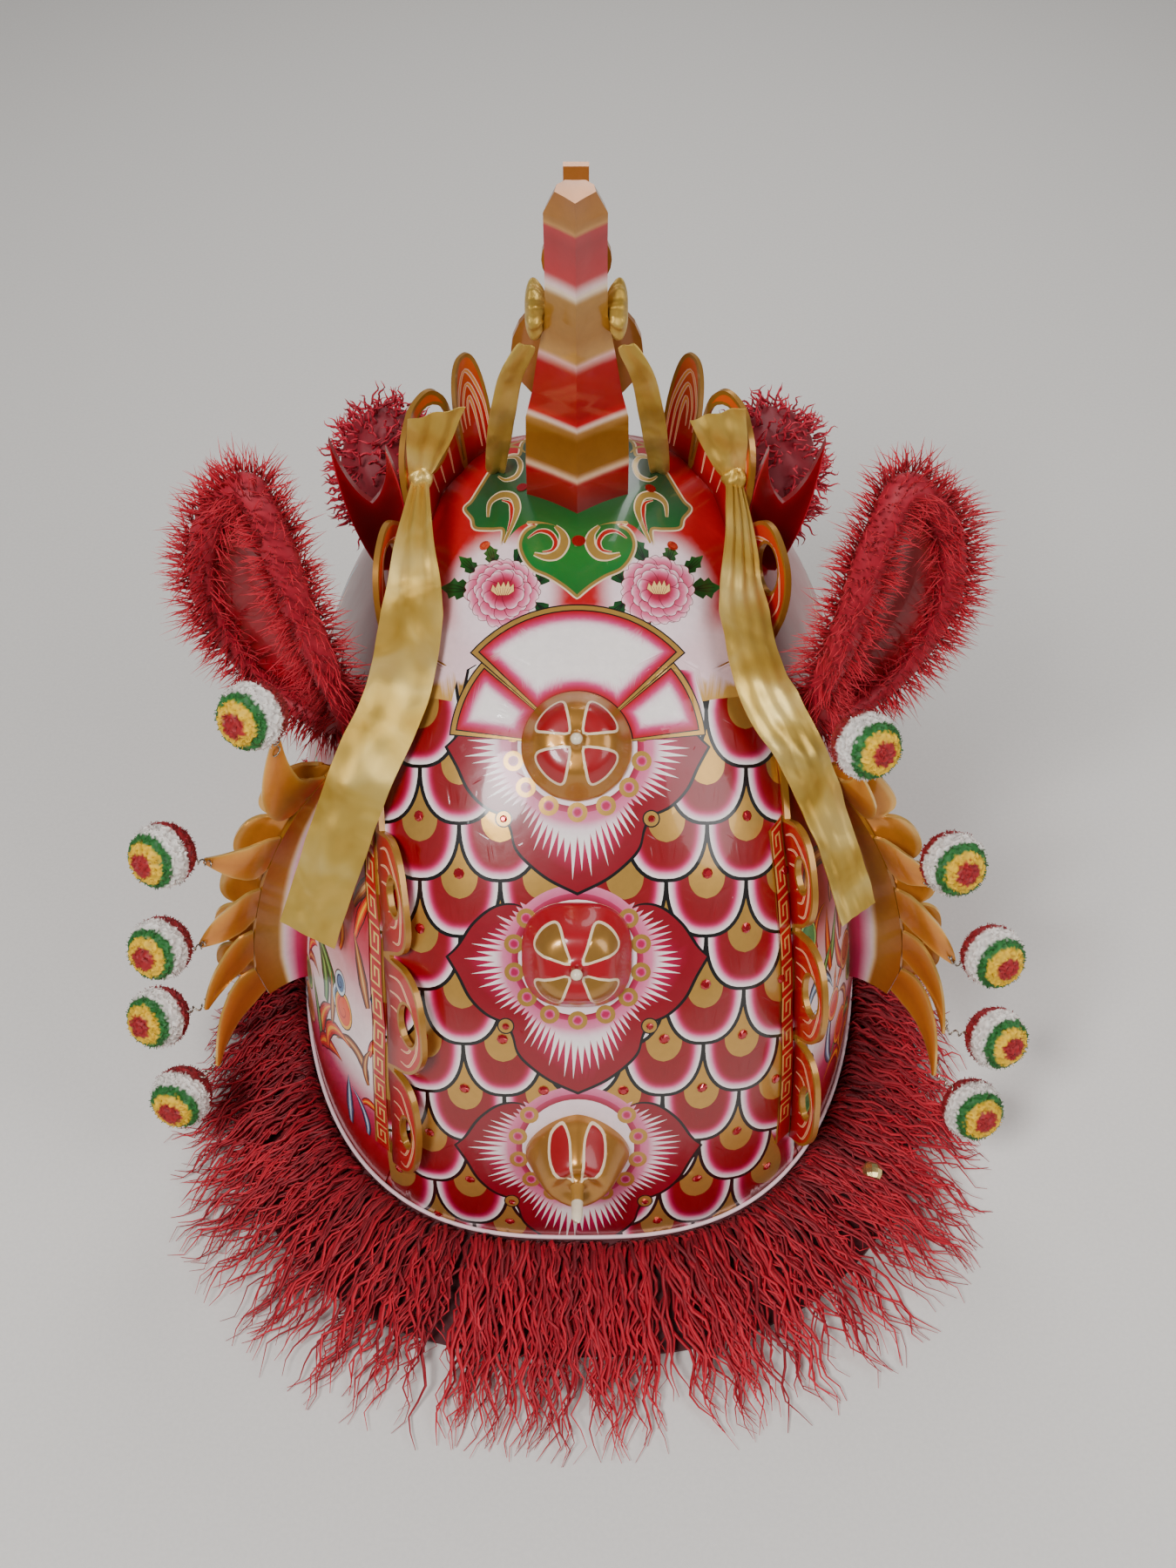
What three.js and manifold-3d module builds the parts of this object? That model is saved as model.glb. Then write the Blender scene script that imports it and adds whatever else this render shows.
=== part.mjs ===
// A qilin dance head: a hollow papier mache head on a frame, open below, with a horned crown,
// a spine of three bosses, cut-out crest boards, cheek collars with leaves and pompoms, furred
// ears, tied ribbons and a long wool fringe. Millimetres, Z up, the face towards +Y.
import * as THREE from "three";
import { mergeVertices } from "three/addons/utils/BufferGeometryUtils.js";
import Module from "manifold-3d";

const wasm = await Module();
wasm.setup();

// Head form
const headHalfWidth = 244;
const headHeight = 445;
const napeLength = 400; // from the widest line back to the nape
const browLength = 190; // from the widest line forward to the brow
const widestY = 235;
const planPower = 2.75; // how square the head is seen from above
const risePower = 2.2; // how square it is seen from the side
const shellWall = 3;
const rimDrop = 25; // the rim below the piping line
const fit = 0.3; // clearance between pieces that touch
const domeColumns = 36;
const domeRows = 9;
const grain = 0.04; // detail smaller than this is left out of a cut solid

// Face window and mask
const windowHalfWidth = 118;
const windowBottom = 112;
const windowTop = 300;
const maskWall = 3;
const maskBackY = 310;
const maskLength = 175;
const maskHalfWidth = 182;
const maskBottom = 60;
const maskTop = 352;
const maskSides = 12;
const eyeRadius = 32;
const noseRadius = 30;
const mouthHalfWidth = 66;
const mouthHeight = 46;

// Spine bosses
const bossRadius = 38.5;
const bossSpikeRadius = 4.5;
const bossHeight = 41;

// Horn and the flat gourd beyond it
const hornHeight = 265;
const hornWidth = 75;
const hornKeel = 24; // from the side corners back to the ridge
const hornFront = 24; // from the side corners to the front face
const hornFootY = 179; // the ridge at the foot
const plaqueThickness = 6;
const plaqueGap = 8;
const plaqueDiscRadius = 47;
const plaqueTopRadius = 24;
const plaqueDiscHeight = 98; // disc centre above the crown
const plaqueTopHeight = 172;
const plaqueStemWidth = 17;
const plaqueStemTop = 240;
const plaquePostWidth = 14;
const rosetteRadius = 24;
const rosetteThickness = 15;
const swagWidth = 22;

// Crest boards and fret bands
const boardThickness = 4.5;
const boardHeight = 84; // the tallest lobe
const boardBead = 7; // height left between lobes
const fretWidth = 17;
const fretThickness = 1.6;

// Cheek collars, leaves and pompoms
const collarThickness = 3;
const collarFlare = 47;
const collarBottom = 105;
const collarTop = 322;
const collarBottomY = 10;
const collarTopY = 48;
const scallopThickness = 3;
const scallopReach = 30;
const leafThickness = 2.6;
const leafWidth = 38;
const leafLength = 80;
const pompomRadius = 24;
const wireRadius = 1.6;

// Ears, antlers and mane
const earLength = 215;
const earHalfWidth = 40;
const earDepth = 26;
const earWall = 3;
const earFurRadius = 15;
const earRootY = 100;
const earRootZ = 312;
const antlerHeight = 118;
const antlerWidth = 46;
const antlerThickness = 6;
const antlerY = 204;
const maneRadius = 52;

// Ribbons
const ribbonWidth = 46;
const ribbonThickness = 1.8;
const ribbonLift = 18;
const knotRadius = 9;
const knotShare = 0.19; // along the crest board, where the knot is tied to it
const knotHeight = 50; // up the crest board

// Rim
const pipingRadius = 1.7;
const fringeReach = 160;
const fringeHeight = 27;
const fringeLocks = 26;
const bellRadius = 10;

// Spine bosses: degrees up the nape, height as a share, how square each is seen from above, and
// where its spike starts as a share of its own height
const bosses = [
  { name: "boss_upper", rise: 57.2, tall: 0.88, power: 2, tint: "#b58c42", nib: 0.8 },
  { name: "boss_middle", rise: 36, tall: 1, power: 2.7, tint: "#b0142f", nib: 0.8 },
  { name: "boss_lower", rise: 12.9, tall: 1.66, power: 1.6, tint: "#b58c42", nib: 0.52 },
];

// Rows up the horn: share of the height, share of the width, ridge setback as a share of height
const hornRows = [
  { up: -0.12, wide: 1, back: 0 },
  { up: 0.1, wide: 1, back: -0.005 },
  { up: 0.24, wide: 0.98, back: -0.015 },
  { up: 0.33, wide: 0.84, back: -0.012 },
  { up: 0.44, wide: 0.73, back: -0.004 },
  { up: 0.6, wide: 0.56, back: 0.03 },
  { up: 0.8, wide: 0.54, back: 0.08 },
  { up: 0.93, wide: 0.54, back: 0.115 },
  { up: 1, wide: 0.34, back: 0.13 },
];

// Rows along the mask, back to front: shares of its length, width and height
const maskRows = [
  { along: -0.15, wide: 1, top: 1, bottom: 0 },
  { along: 0.25, wide: 0.96, top: 0.98, bottom: 0 },
  { along: 0.48, wide: 0.8, top: 0.88, bottom: 0.01 },
  { along: 0.66, wide: 0.62, top: 0.72, bottom: 0.02 },
  { along: 0.84, wide: 0.56, top: 0.62, bottom: 0.05 },
  { along: 0.95, wide: 0.48, top: 0.56, bottom: 0.1 },
  { along: 1, wide: 0.36, top: 0.48, bottom: 0.16 },
];

// The line a crest board stands on, from the brow down to the nape, in degrees on the head, and
// how far the board leans to the right there
const boardLine = [
  { share: 0, rise: 73.5, left: 132, right: 132, leanLeft: -8, leanRight: 8 },
  { share: 0.12, rise: 70, left: 100, right: 100, leanLeft: -8, leanRight: 8 },
  { share: 0.22, rise: 62, left: 80, right: 80, leanLeft: -14, leanRight: 14 },
  { share: 0.34, rise: 54, left: 67, right: 67, leanLeft: -5, leanRight: 16 },
  { share: 0.46, rise: 48, left: 52, right: 53, leanLeft: 10, leanRight: 18 },
  { share: 0.56, rise: 41, left: 42, right: 46, leanLeft: 28, leanRight: 20 },
  { share: 0.68, rise: 32, left: 33.5, right: 42, leanLeft: 36, leanRight: 21 },
  { share: 0.8, rise: 22.5, left: 29.5, right: 38.8, leanLeft: 37, leanRight: 21 },
  { share: 0.92, rise: 12, left: 28.5, right: 37.2, leanLeft: 35, leanRight: 20 },
  { share: 1, rise: 5, left: 28.5, right: 36.8, leanLeft: 33, leanRight: 20 },
];

// Lobes of a crest board: shares of its line, height as a share of the tallest, and its loop hole
const boardLobes = [
  { from: 0.0, to: 0.1, tall: 0.95, hole: 0.0 },
  { from: 0.105, to: 0.205, tall: 1, hole: 0.3 },
  { from: 0.21, to: 0.33, tall: 0.72, hole: 0.26 },
  { from: 0.335, to: 0.545, tall: 0.04, hole: 0 },
  { from: 0.55, to: 0.69, tall: 0.46, hole: 0.2 },
  { from: 0.695, to: 0.84, tall: 0.56, hole: 0.24 },
  { from: 0.845, to: 1, tall: 0.47, hole: 0.2 },
];

// Leaves on a collar: where each starts along the rim, its share of the leaf width, and the offset
// of its tip from its root, outward, backward and up, as shares of the leaf length, on each side
const leafRows = [
  { at: 0.92, wide: 1.1, left: [0.16, 0.2, 0.98], right: [0.06, 0.25, 0.52] },
  { at: 0.69, wide: 1, left: [0.6, 0.18, 0.12], right: [0.46, 0.2, -0.2] },
  { at: 0.47, wide: 0.95, left: [0.56, 0.22, -0.36], right: [0.56, 0.3, -0.52] },
  { at: 0.277, wide: 0.9, left: [0.46, 0.45, -0.44], right: [0.42, 0.55, -0.7] },
  { at: 0.09, wide: 0.85, left: [0.38, 0.74, -0.42], right: [0.34, 0.8, -0.5] },
];

// Pompom centres from the leaf tips, outward, backward and up, as shares of the pompom radius
const pompomRows = [
  { left: [0.5, 0.3, 1.25], right: [-0.1, 0.3, 1.5] },
  { left: [1.0, 0.5, 0.95], right: [0.4, 0.3, 1.45] },
  { left: [1.05, 0.55, 0.7], right: [1.0, 0.4, 0.95] },
  { left: [1.5, 0.2, -0.3], right: [1.55, 0.3, 0.1] },
  { left: [1.15, 0.6, -0.95], right: [1.2, 0.7, -0.95] },
];

// The ribbon tails from the knot to the cut end: degrees on the head, lift and open width as shares
const tailRows = [
  { share: 0, rise: 68.5, left: 76, right: 78, lift: 3.3, openLeft: 0.24, openRight: 0.24 },
  { share: 0.15, rise: 67.2, left: 68, right: 70, lift: 2.0, openLeft: 0.6, openRight: 0.55 },
  { share: 0.3, rise: 63.2, left: 57.5, right: 59.5, lift: 1.25, openLeft: 1, openRight: 0.9 },
  { share: 0.5, rise: 56, left: 46.5, right: 50, lift: 1.15, openLeft: 1, openRight: 0.95 },
  { share: 0.7, rise: 47, left: 45.4, right: 50.5, lift: 1.4, openLeft: 1, openRight: 0.8 },
  { share: 0.85, rise: 37, left: 46.6, right: 52, lift: 1.35, openLeft: 1, openRight: 0.7 },
  { share: 1, rise: 28, left: 47.5, right: 52, lift: 1.6, openLeft: 1, openRight: 0.75 },
];

// The fringe's reach on the floor round the head, as shares, from the nape (0) to the chin (180)
const fringeRows = [
  { az: 0, reach: 1 },
  { az: 25, reach: 1 },
  { az: 45, reach: 0.95 },
  { az: 60, reach: 0.8 },
  { az: 80, reach: 0.45 },
  { az: 110, reach: 0.34 },
  { az: 180, reach: 0.34 },
];

// Shared geometry

const vec = (x, y, z) => new THREE.Vector3(x, y, z);
const signed = (value, power) => Math.sign(value) * Math.abs(value) ** power;
const lerp = THREE.MathUtils.lerp;
const rad = THREE.MathUtils.degToRad;

// A value read from a table at a key, with straight lines between its rows
function readRows(rows, key, at, value) {
  const last = rows.length - 1;
  const up = rows[last][key] > rows[0][key];
  const next = rows.findIndex((row) => (up ? row[key] >= at : row[key] <= at));
  if (next <= 0) return rows[next === 0 ? 0 : last][value];
  const a = rows[next - 1];
  const b = rows[next];
  return lerp(a[value], b[value], (at - a[key]) / (b[key] - a[key]));
}

// A point on the head: az runs from the nape (0) round to the brow (180), rise from rim to crown
function domePoint(az, rise, lift = 0) {
  const out = Math.cos(rad(rise)) ** (2 / risePower);
  const length = Math.cos(rad(az)) > 0 ? napeLength : browLength;
  return vec(
    (headHalfWidth + lift) * out * signed(Math.sin(rad(az)), 2 / planPower),
    widestY - (length + lift) * out * signed(Math.cos(rad(az)), 2 / planPower),
    (headHeight + lift) * Math.sin(rad(rise)) ** (2 / risePower),
  );
}

function domeNormal(az, rise) {
  const step = 0.5;
  const across = domePoint(az + step, rise).sub(domePoint(az - step, rise));
  const up = domePoint(az, rise + step).sub(domePoint(az, rise - step));
  return across.cross(up).normalize();
}

// Half the head's width at a place seen from the side
function domeHalfWidth(y, z) {
  const left = (1 - (z / headHeight) ** risePower) ** (planPower / risePower);
  const length = y < widestY ? napeLength : browLength;
  return headHalfWidth * (left - (Math.abs(y - widestY) / length) ** planPower) ** (1 / planPower);
}

function makeGeometry(points, triangles) {
  const geometry = new THREE.BufferGeometry();
  const flat = points.flatMap((p) => [p.x, p.y, p.z]);
  geometry.setAttribute("position", new THREE.Float32BufferAttribute(flat, 3));
  geometry.setIndex(triangles.flat());
  return geometry;
}

// A closed mesh as a solid for joining and cutting, with its faces turned outward
function toSolid(geometry) {
  const bare = geometry.clone();
  bare.deleteAttribute("normal");
  bare.deleteAttribute("uv");
  const merged = mergeVertices(bare, 1e-3);
  const vertProperties = new Float32Array(merged.attributes.position.array);
  const triVerts = new Uint32Array(merged.index.array);
  let volume = 0;
  const corner = (k) => vec(...vertProperties.slice(3 * k, 3 * k + 3));
  for (let i = 0; i < triVerts.length; i += 3) {
    const [a, b, c] = [0, 1, 2].map((k) => corner(triVerts[i + k]));
    volume += a.dot(b.cross(c));
  }
  if (volume < 0) {
    for (let i = 0; i < triVerts.length; i += 3) {
      [triVerts[i], triVerts[i + 1]] = [triVerts[i + 1], triVerts[i]];
    }
  }
  return new wasm.Manifold(new wasm.Mesh({ numProp: 3, vertProperties, triVerts }));
}

function toGeometry(solid) {
  const mesh = solid.getMesh();
  const geometry = new THREE.BufferGeometry();
  geometry.setAttribute("position", new THREE.BufferAttribute(mesh.vertProperties, 3));
  geometry.setIndex(new THREE.BufferAttribute(mesh.triVerts, 1));
  geometry.computeVertexNormals();
  return geometry;
}

// A solid skinned over rings of equal length; it closes on itself, or caps its ends
function skinRings(rings, joined = false) {
  const count = rings[0].length;
  const points = rings.flat();
  const triangles = [];
  const spans = joined ? rings.length : rings.length - 1;
  for (let r = 0; r < spans; r += 1) {
    const low = r * count;
    const high = ((r + 1) % rings.length) * count;
    for (let i = 0; i < count; i += 1) {
      const j = (i + 1) % count;
      triangles.push([low + i, low + j, high + j], [low + i, high + j, high + i]);
    }
  }
  if (!joined) {
    [0, rings.length - 1].forEach((r) => {
      const middle = rings[r].reduce((sum, p) => sum.add(p), vec(0, 0, 0)).divideScalar(count);
      const hub = points.push(middle) - 1;
      for (let i = 0; i < count; i += 1) {
        const a = r * count + i;
        const b = r * count + ((i + 1) % count);
        triangles.push(r === 0 ? [hub, b, a] : [hub, a, b]);
      }
    });
  }
  return toSolid(makeGeometry(points, triangles));
}

// A thin wall on a grid of middle points, given its thickness along the grid's own normals
function sheet(rows, thickness) {
  const rowCount = rows.length;
  const columns = rows[0].length;
  const at = (r, c) =>
    rows[THREE.MathUtils.clamp(r, 0, rowCount - 1)][THREE.MathUtils.clamp(c, 0, columns - 1)];
  const normals = rows.map((row, r) =>
    row.map((_, c) => {
      const along = at(r + 1, c).clone().sub(at(r - 1, c));
      const across = at(r, c + 1).clone().sub(at(r, c - 1));
      return along.cross(across).normalize();
    }),
  );
  const side = (sign) =>
    rows.flatMap((row, r) =>
      row.map((p, c) => p.clone().addScaledVector(normals[r][c], (sign * thickness) / 2)),
    );
  const points = [...side(1), ...side(-1)];
  const under = rowCount * columns;
  const id = (r, c) => r * columns + c;
  const triangles = [];
  const wall = (a, b) => triangles.push([a, b, b + under], [a, b + under, a + under]);
  for (let r = 0; r < rowCount - 1; r += 1) {
    for (let c = 0; c < columns - 1; c += 1) {
      const [a, b, d, e] = [id(r, c), id(r, c + 1), id(r + 1, c + 1), id(r + 1, c)];
      triangles.push([a, d, b], [a, e, d]);
      triangles.push([a + under, b + under, d + under], [a + under, d + under, e + under]);
    }
    wall(id(r + 1, 0), id(r, 0));
    wall(id(r, columns - 1), id(r + 1, columns - 1));
  }
  for (let c = 0; c < columns - 1; c += 1) {
    wall(id(0, c), id(0, c + 1));
    wall(id(rowCount - 1, c + 1), id(rowCount - 1, c));
  }
  return toSolid(makeGeometry(points, triangles));
}

// An outline in the XZ plane given depth along Y, from backY
function slab(shape, backY, depth, curveSegments = 12) {
  const geometry = new THREE.ExtrudeGeometry(shape, { depth, bevelEnabled: false, curveSegments });
  geometry.rotateX(Math.PI / 2);
  geometry.translate(0, backY + depth, 0);
  return toSolid(geometry);
}

function roundShape(radius, height) {
  const shape = new THREE.Shape();
  shape.absarc(0, height, radius, 0, 2 * Math.PI, false);
  return shape;
}

function barShape(width, bottom, top) {
  const shape = new THREE.Shape();
  shape.moveTo(-width / 2, bottom);
  shape.lineTo(width / 2, bottom);
  shape.lineTo(width / 2, top);
  shape.lineTo(-width / 2, top);
  shape.closePath();
  return shape;
}

function ball(center, radius, wide = 16, tall = 10) {
  const geometry = new THREE.SphereGeometry(radius, wide, tall);
  geometry.translate(center.x, center.y, center.z);
  return toSolid(geometry);
}

// A ball of wool: round, with its surface raised into locks
function woolBall(center, radii, wide, tall, lock) {
  const rings = [];
  for (let r = 1; r < tall; r += 1) {
    const polar = (Math.PI * r) / tall;
    rings.push(
      Array.from({ length: wide }, (_, i) => {
        const turn = (2 * Math.PI * i) / wide;
        const out = 1 + ((i + r) % 2 === 0 ? lock : -lock);
        return vec(
          center.x + radii.x * out * Math.sin(polar) * Math.cos(turn),
          center.y + radii.y * out * Math.sin(polar) * Math.sin(turn),
          center.z + radii.z * out * Math.cos(polar),
        );
      }),
    );
  }
  return skinRings(rings);
}

// A round bar or tube of changing radius along a line of points
function bar(points, radii, sides) {
  const curve = new THREE.CatmullRomCurve3(points);
  const steps = radii.length - 1;
  const frames = curve.computeFrenetFrames(steps, false);
  const rings = radii.map((radius, k) => {
    const center = curve.getPointAt(k / steps);
    return Array.from({ length: sides }, (_, i) => {
      const turn = (2 * Math.PI * i) / sides;
      return center
        .clone()
        .addScaledVector(frames.normals[k], radius * Math.cos(turn))
        .addScaledVector(frames.binormals[k], radius * Math.sin(turn));
    });
  });
  return skinRings(rings);
}

const nearTop = 89.6; // degrees, the last ring round the crown

// The solid head form with a lift, reaching below the rim
function domeSolid(lift, below) {
  const rings = [];
  const foot = (rise, drop) =>
    Array.from({ length: domeColumns }, (_, i) => {
      const point = domePoint((360 * i) / domeColumns, rise, lift);
      point.z -= drop;
      return point;
    });
  rings.push(foot(0, below));
  for (let r = 0; r < domeRows; r += 1) rings.push(foot((90 * r) / domeRows, 0));
  return skinRings([...rings, foot(nearTop, 0)]);
}

const overreach = 20; // how far a cutting solid runs past what it cuts
const seatCutter = domeSolid(fit, rimDrop + overreach);

// Pieces

const made = [];
function addPiece(name, solid, color, roughness = 0.6, metalness = 0) {
  const material = new THREE.MeshStandardMaterial({ color, roughness, metalness });
  const mesh = new THREE.Mesh(toGeometry(solid.simplify(grain)), material);
  mesh.name = name;
  made.push(mesh);
}

const eyesAlong = 0.5; // shares of the mask's length, width and height
const eyesApart = 0.5;
const eyesUp = 0.72;
const noseAlong = 0.94;
const noseUp = 0.5;
const mouthUp = 0.2;

const sides = [
  { word: "left", turn: -1 },
  { word: "right", turn: 1 },
];

function headShell() {
  const opening = new THREE.Shape();
  const corner = 60;
  opening.moveTo(-windowHalfWidth + corner, windowBottom);
  opening.lineTo(windowHalfWidth - corner, windowBottom);
  opening.quadraticCurveTo(windowHalfWidth, windowBottom, windowHalfWidth, windowBottom + corner);
  opening.lineTo(windowHalfWidth, windowTop - corner);
  opening.quadraticCurveTo(windowHalfWidth, windowTop, windowHalfWidth - corner, windowTop);
  opening.lineTo(-windowHalfWidth + corner, windowTop);
  opening.quadraticCurveTo(-windowHalfWidth, windowTop, -windowHalfWidth, windowTop - corner);
  opening.lineTo(-windowHalfWidth, windowBottom + corner);
  opening.quadraticCurveTo(-windowHalfWidth, windowBottom, corner - windowHalfWidth, windowBottom);
  const window = slab(opening, widestY + browLength / 3, browLength + overreach, 4);
  return domeSolid(0, rimDrop).subtract(domeSolid(-shellWall, rimDrop + overreach)).subtract(window);
}

// The mask's rings, drawn in by an inset
function maskForm(inset) {
  const eyeTop = lerp(maskBottom, maskTop, eyesUp);
  const rings = maskRows.map((row) => {
    const top = lerp(maskBottom, maskTop, row.top) - inset;
    const bottom = lerp(maskBottom, maskTop, row.bottom) + inset;
    const wide = maskHalfWidth * row.wide - inset;
    const back = row.along < 0 && inset > 0 ? overreach : 0;
    const y = maskBackY + maskLength * row.along - inset - back;
    return Array.from({ length: maskSides }, (_, i) => {
      const turn = (2 * Math.PI * i) / maskSides;
      const x = wide * signed(Math.cos(turn), 0.78);
      return vec(x, y, (top + bottom) / 2 + ((top - bottom) / 2) * signed(Math.sin(turn), 0.78));
    });
  });
  let form = skinRings(rings);
  [-1, 1].forEach((side) => {
    const eye = vec(eyesApart * maskHalfWidth * side, maskBackY + eyesAlong * maskLength, eyeTop);
    form = form.add(ball(eye, eyeRadius - inset, 9, 6));
  });
  const nose = vec(0, maskBackY + maskLength * noseAlong, lerp(maskBottom, maskTop, noseUp));
  return form.add(ball(nose, noseRadius - inset, 9, 6));
}

function faceMask() {
  const mouthBottom = lerp(maskBottom, maskTop, mouthUp);
  const mouth = slab(
    barShape(2 * mouthHalfWidth, mouthBottom, mouthBottom + mouthHeight),
    maskBackY + 0.6 * maskLength,
    maskLength,
  );
  return maskForm(0).subtract(maskForm(maskWall)).subtract(seatCutter).subtract(mouth);
}

function boss(row) {
  const profile = [
    { out: 1, up: -0.45 },
    { out: 1, up: 0.02 },
    { out: 0.93, up: 0.16 },
    { out: 0.6, up: lerp(0.3, 0.7, row.nib) },
    { out: 0.22, up: row.nib * 0.88 },
    { out: bossSpikeRadius / bossRadius, up: row.nib },
    { out: (0.9 * bossSpikeRadius) / bossRadius, up: 0.93 },
    { out: (0.5 * bossSpikeRadius) / bossRadius, up: 1 },
  ];
  const count = 16;
  const rings = profile.map(({ out, up }) =>
    Array.from({ length: count }, (_, i) => {
      const turn = (2 * Math.PI * i) / count;
      const power = 2 / (out > 0.2 ? row.power : 2);
      const x = bossRadius * out * signed(Math.cos(turn), power);
      return vec(x, bossRadius * out * signed(Math.sin(turn), power), bossHeight * row.tall * up);
    }),
  );
  const stand = new THREE.Quaternion().setFromUnitVectors(vec(0, 0, 1), domeNormal(0, row.rise));
  const seat = domePoint(0, row.rise);
  rings.flat().forEach((p) => p.applyQuaternion(stand).add(seat));
  return skinRings(rings).subtract(seatCutter);
}

// The horn's section: a ridge behind, two side corners and a rounded front
function hornSolid(grow) {
  const rings = hornRows.map(({ up, wide, back }) => {
    const half = (hornWidth / 2) * wide + grow;
    const ridge = hornFootY - back * hornHeight - grow;
    const z = headHeight + up * hornHeight;
    const depth = ridge + hornKeel * Math.sqrt(wide) + grow;
    const front = depth + hornFront * Math.sqrt(wide) + grow;
    return [
      vec(0, ridge, z),
      vec(half * 0.5, (ridge + depth) / 2, z),
      vec(half, depth, z),
      vec(half * 0.9, (depth + front) / 2, z),
      vec(half * 0.5, front, z),
      vec(-half * 0.5, front, z),
      vec(-half * 0.9, (depth + front) / 2, z),
      vec(-half, depth, z),
      vec(-half * 0.5, (ridge + depth) / 2, z),
    ];
  });
  return skinRings(rings);
}

const plaqueY = hornFootY + hornKeel + hornFront + plaqueGap;

function gourdPlaque() {
  const parts = [
    roundShape(plaqueDiscRadius, headHeight + plaqueDiscHeight),
    roundShape(plaqueTopRadius, headHeight + plaqueTopHeight),
    barShape(plaqueStemWidth, headHeight + plaqueTopHeight, headHeight + plaqueStemTop),
    barShape(plaquePostWidth, headHeight - overreach, headHeight + plaqueDiscHeight),
    barShape(plaqueTopRadius, headHeight + plaqueDiscHeight, headHeight + plaqueTopHeight),
  ];
  const solids = parts.map((shape) => slab(shape, plaqueY, plaqueThickness, 12));
  return solids.reduce((sum, solid) => sum.add(solid)).subtract(seatCutter);
}

// Half the horn's width at a height over the crown
function hornHalfWidth(height) {
  return (hornWidth / 2) * readRows(hornRows, "up", height / hornHeight, "wide");
}

const rosetteHeight = plaqueDiscHeight + 0.76 * (plaqueTopHeight - plaqueDiscHeight);
const rosetteY = hornFootY + hornKeel;

// A disc of pleats against the side of the horn
function rosette(turn) {
  const inner = hornHalfWidth(rosetteHeight) - 2;
  const rings = [
    { x: 0, out: 0.45 },
    { x: 0.4, out: 0.9 },
    { x: 0.75, out: 1 },
    { x: 1, out: 0.5 },
  ].map(({ x, out }) =>
    Array.from({ length: 20 }, (_, i) => {
      const angle = (2 * Math.PI * i) / 20;
      const reach = rosetteRadius * out * (i % 2 === 0 ? 1 : 0.8);
      return vec(
        turn * (inner + rosetteThickness * x),
        rosetteY + reach * Math.cos(angle),
        headHeight + rosetteHeight + reach * Math.sin(angle),
      );
    }),
  );
  return skinRings(rings).subtract(hornSolid(fit));
}

// Crumpled ribbon from under the rosette down to the crown beside the plaque
function ribbonSwag(turn) {
  const top = rosetteHeight - rosetteRadius - 2;
  const startX = hornHalfWidth(rosetteHeight) + rosetteThickness / 2 + 4;
  const endX = plaqueDiscRadius + 16;
  const rows = [];
  const steps = 8;
  for (let k = 0; k <= steps; k += 1) {
    const share = k / steps;
    const crumple = (k % 2 === 0 ? 1 : -1) * 2.5;
    const x = lerp(startX, endX, Math.sqrt(share));
    const y = lerp(rosetteY, plaqueY + plaqueThickness, share * share) - 6 + crumple;
    const z = headHeight + lerp(top, -12, share);
    const half = (swagWidth / 2) * (0.75 + 0.25 * Math.sin(Math.PI * share));
    rows.push([-1, -0.35, 0.35, 1].map((v, c) =>
      vec(turn * (x + half * v * 0.8), y + (c % 2) * 3 - half * v * 0.35, z + half * v * 0.45),
    ));
  }
  return sheet(rows, 2).subtract(seatCutter);
}

// Frame of a crest board at a share of its line: foot, direction along it and direction up it
function boardFrame(turn, share) {
  const side = turn < 0 ? "left" : "right";
  const lean = turn < 0 ? "leanLeft" : "leanRight";
  const read = (at, column) => readRows(boardLine, "share", at, column);
  const foot = (at) => domePoint(turn * read(at, side), read(at, "rise"));
  const near = 0.01;
  const along = foot(Math.min(1, share + near)).sub(foot(Math.max(0, share - near))).normalize();
  const normal = domeNormal(turn * read(share, side), read(share, "rise"));
  const upright = vec(0, normal.y, Math.max(normal.z, 0.35)).normalize();
  const tilt = rad(read(share, lean));
  const up = upright.multiplyScalar(Math.cos(tilt)).add(vec(Math.sin(tilt), 0, 0));
  return { foot: foot(share), along, up: up.normalize() };
}

function lobeHeight(share) {
  const lobe = boardLobes.find((row) => share >= row.from && share <= row.to);
  if (!lobe) return boardBead;
  const off = Math.abs((2 * (share - lobe.from)) / (lobe.to - lobe.from) - 1);
  const round = (1 - off ** 2.6) ** (1 / 2.6);
  return Math.max(boardBead, boardHeight * lobe.tall * round);
}

// The board standing on its line, or the same board grown all round to cut a clearance
function boardSolid(turn, grow) {
  const shares = boardLobes.flatMap(({ from, to }) =>
    [0.001, 0.08, 0.3, 0.7, 0.92, 0.999].map((k) => lerp(from, to, k)),
  );
  const rows = shares.map((share) => {
    const { foot, up } = boardFrame(turn, share);
    const tall = lobeHeight(share) + grow;
    return [-8, tall].map((h) => foot.clone().addScaledVector(up, h));
  });
  return sheet(rows, boardThickness + 2 * grow);
}

function crestBoard(turn) {
  let board = boardSolid(turn, 0).subtract(seatCutter);
  boardLobes.filter((lobe) => lobe.hole > 0).forEach((lobe) => {
    const share = (lobe.from + lobe.to) / 2;
    const { foot, along, up } = boardFrame(turn, share);
    const tall = boardHeight * lobe.tall;
    const ends = [lobe.from, lobe.to].map((at) => boardFrame(turn, at).foot);
    const half = 0.5 * ends[0].distanceTo(ends[1]);
    const across = along.clone().cross(up).normalize();
    const center = foot.clone().addScaledVector(up, tall * 0.58);
    const rings = [-1, 1].map((w) =>
      Array.from({ length: 8 }, (_, i) => {
        const angle = (2 * Math.PI * i) / 8;
        return center
          .clone()
          .addScaledVector(along, half * lobe.hole * 1.5 * Math.cos(angle))
          .addScaledVector(up, tall * lobe.hole * Math.sin(angle))
          .addScaledVector(across, w * overreach * 0.5);
      }),
    );
    board = board.subtract(skinRings(rings));
  });
  return board;
}

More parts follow.
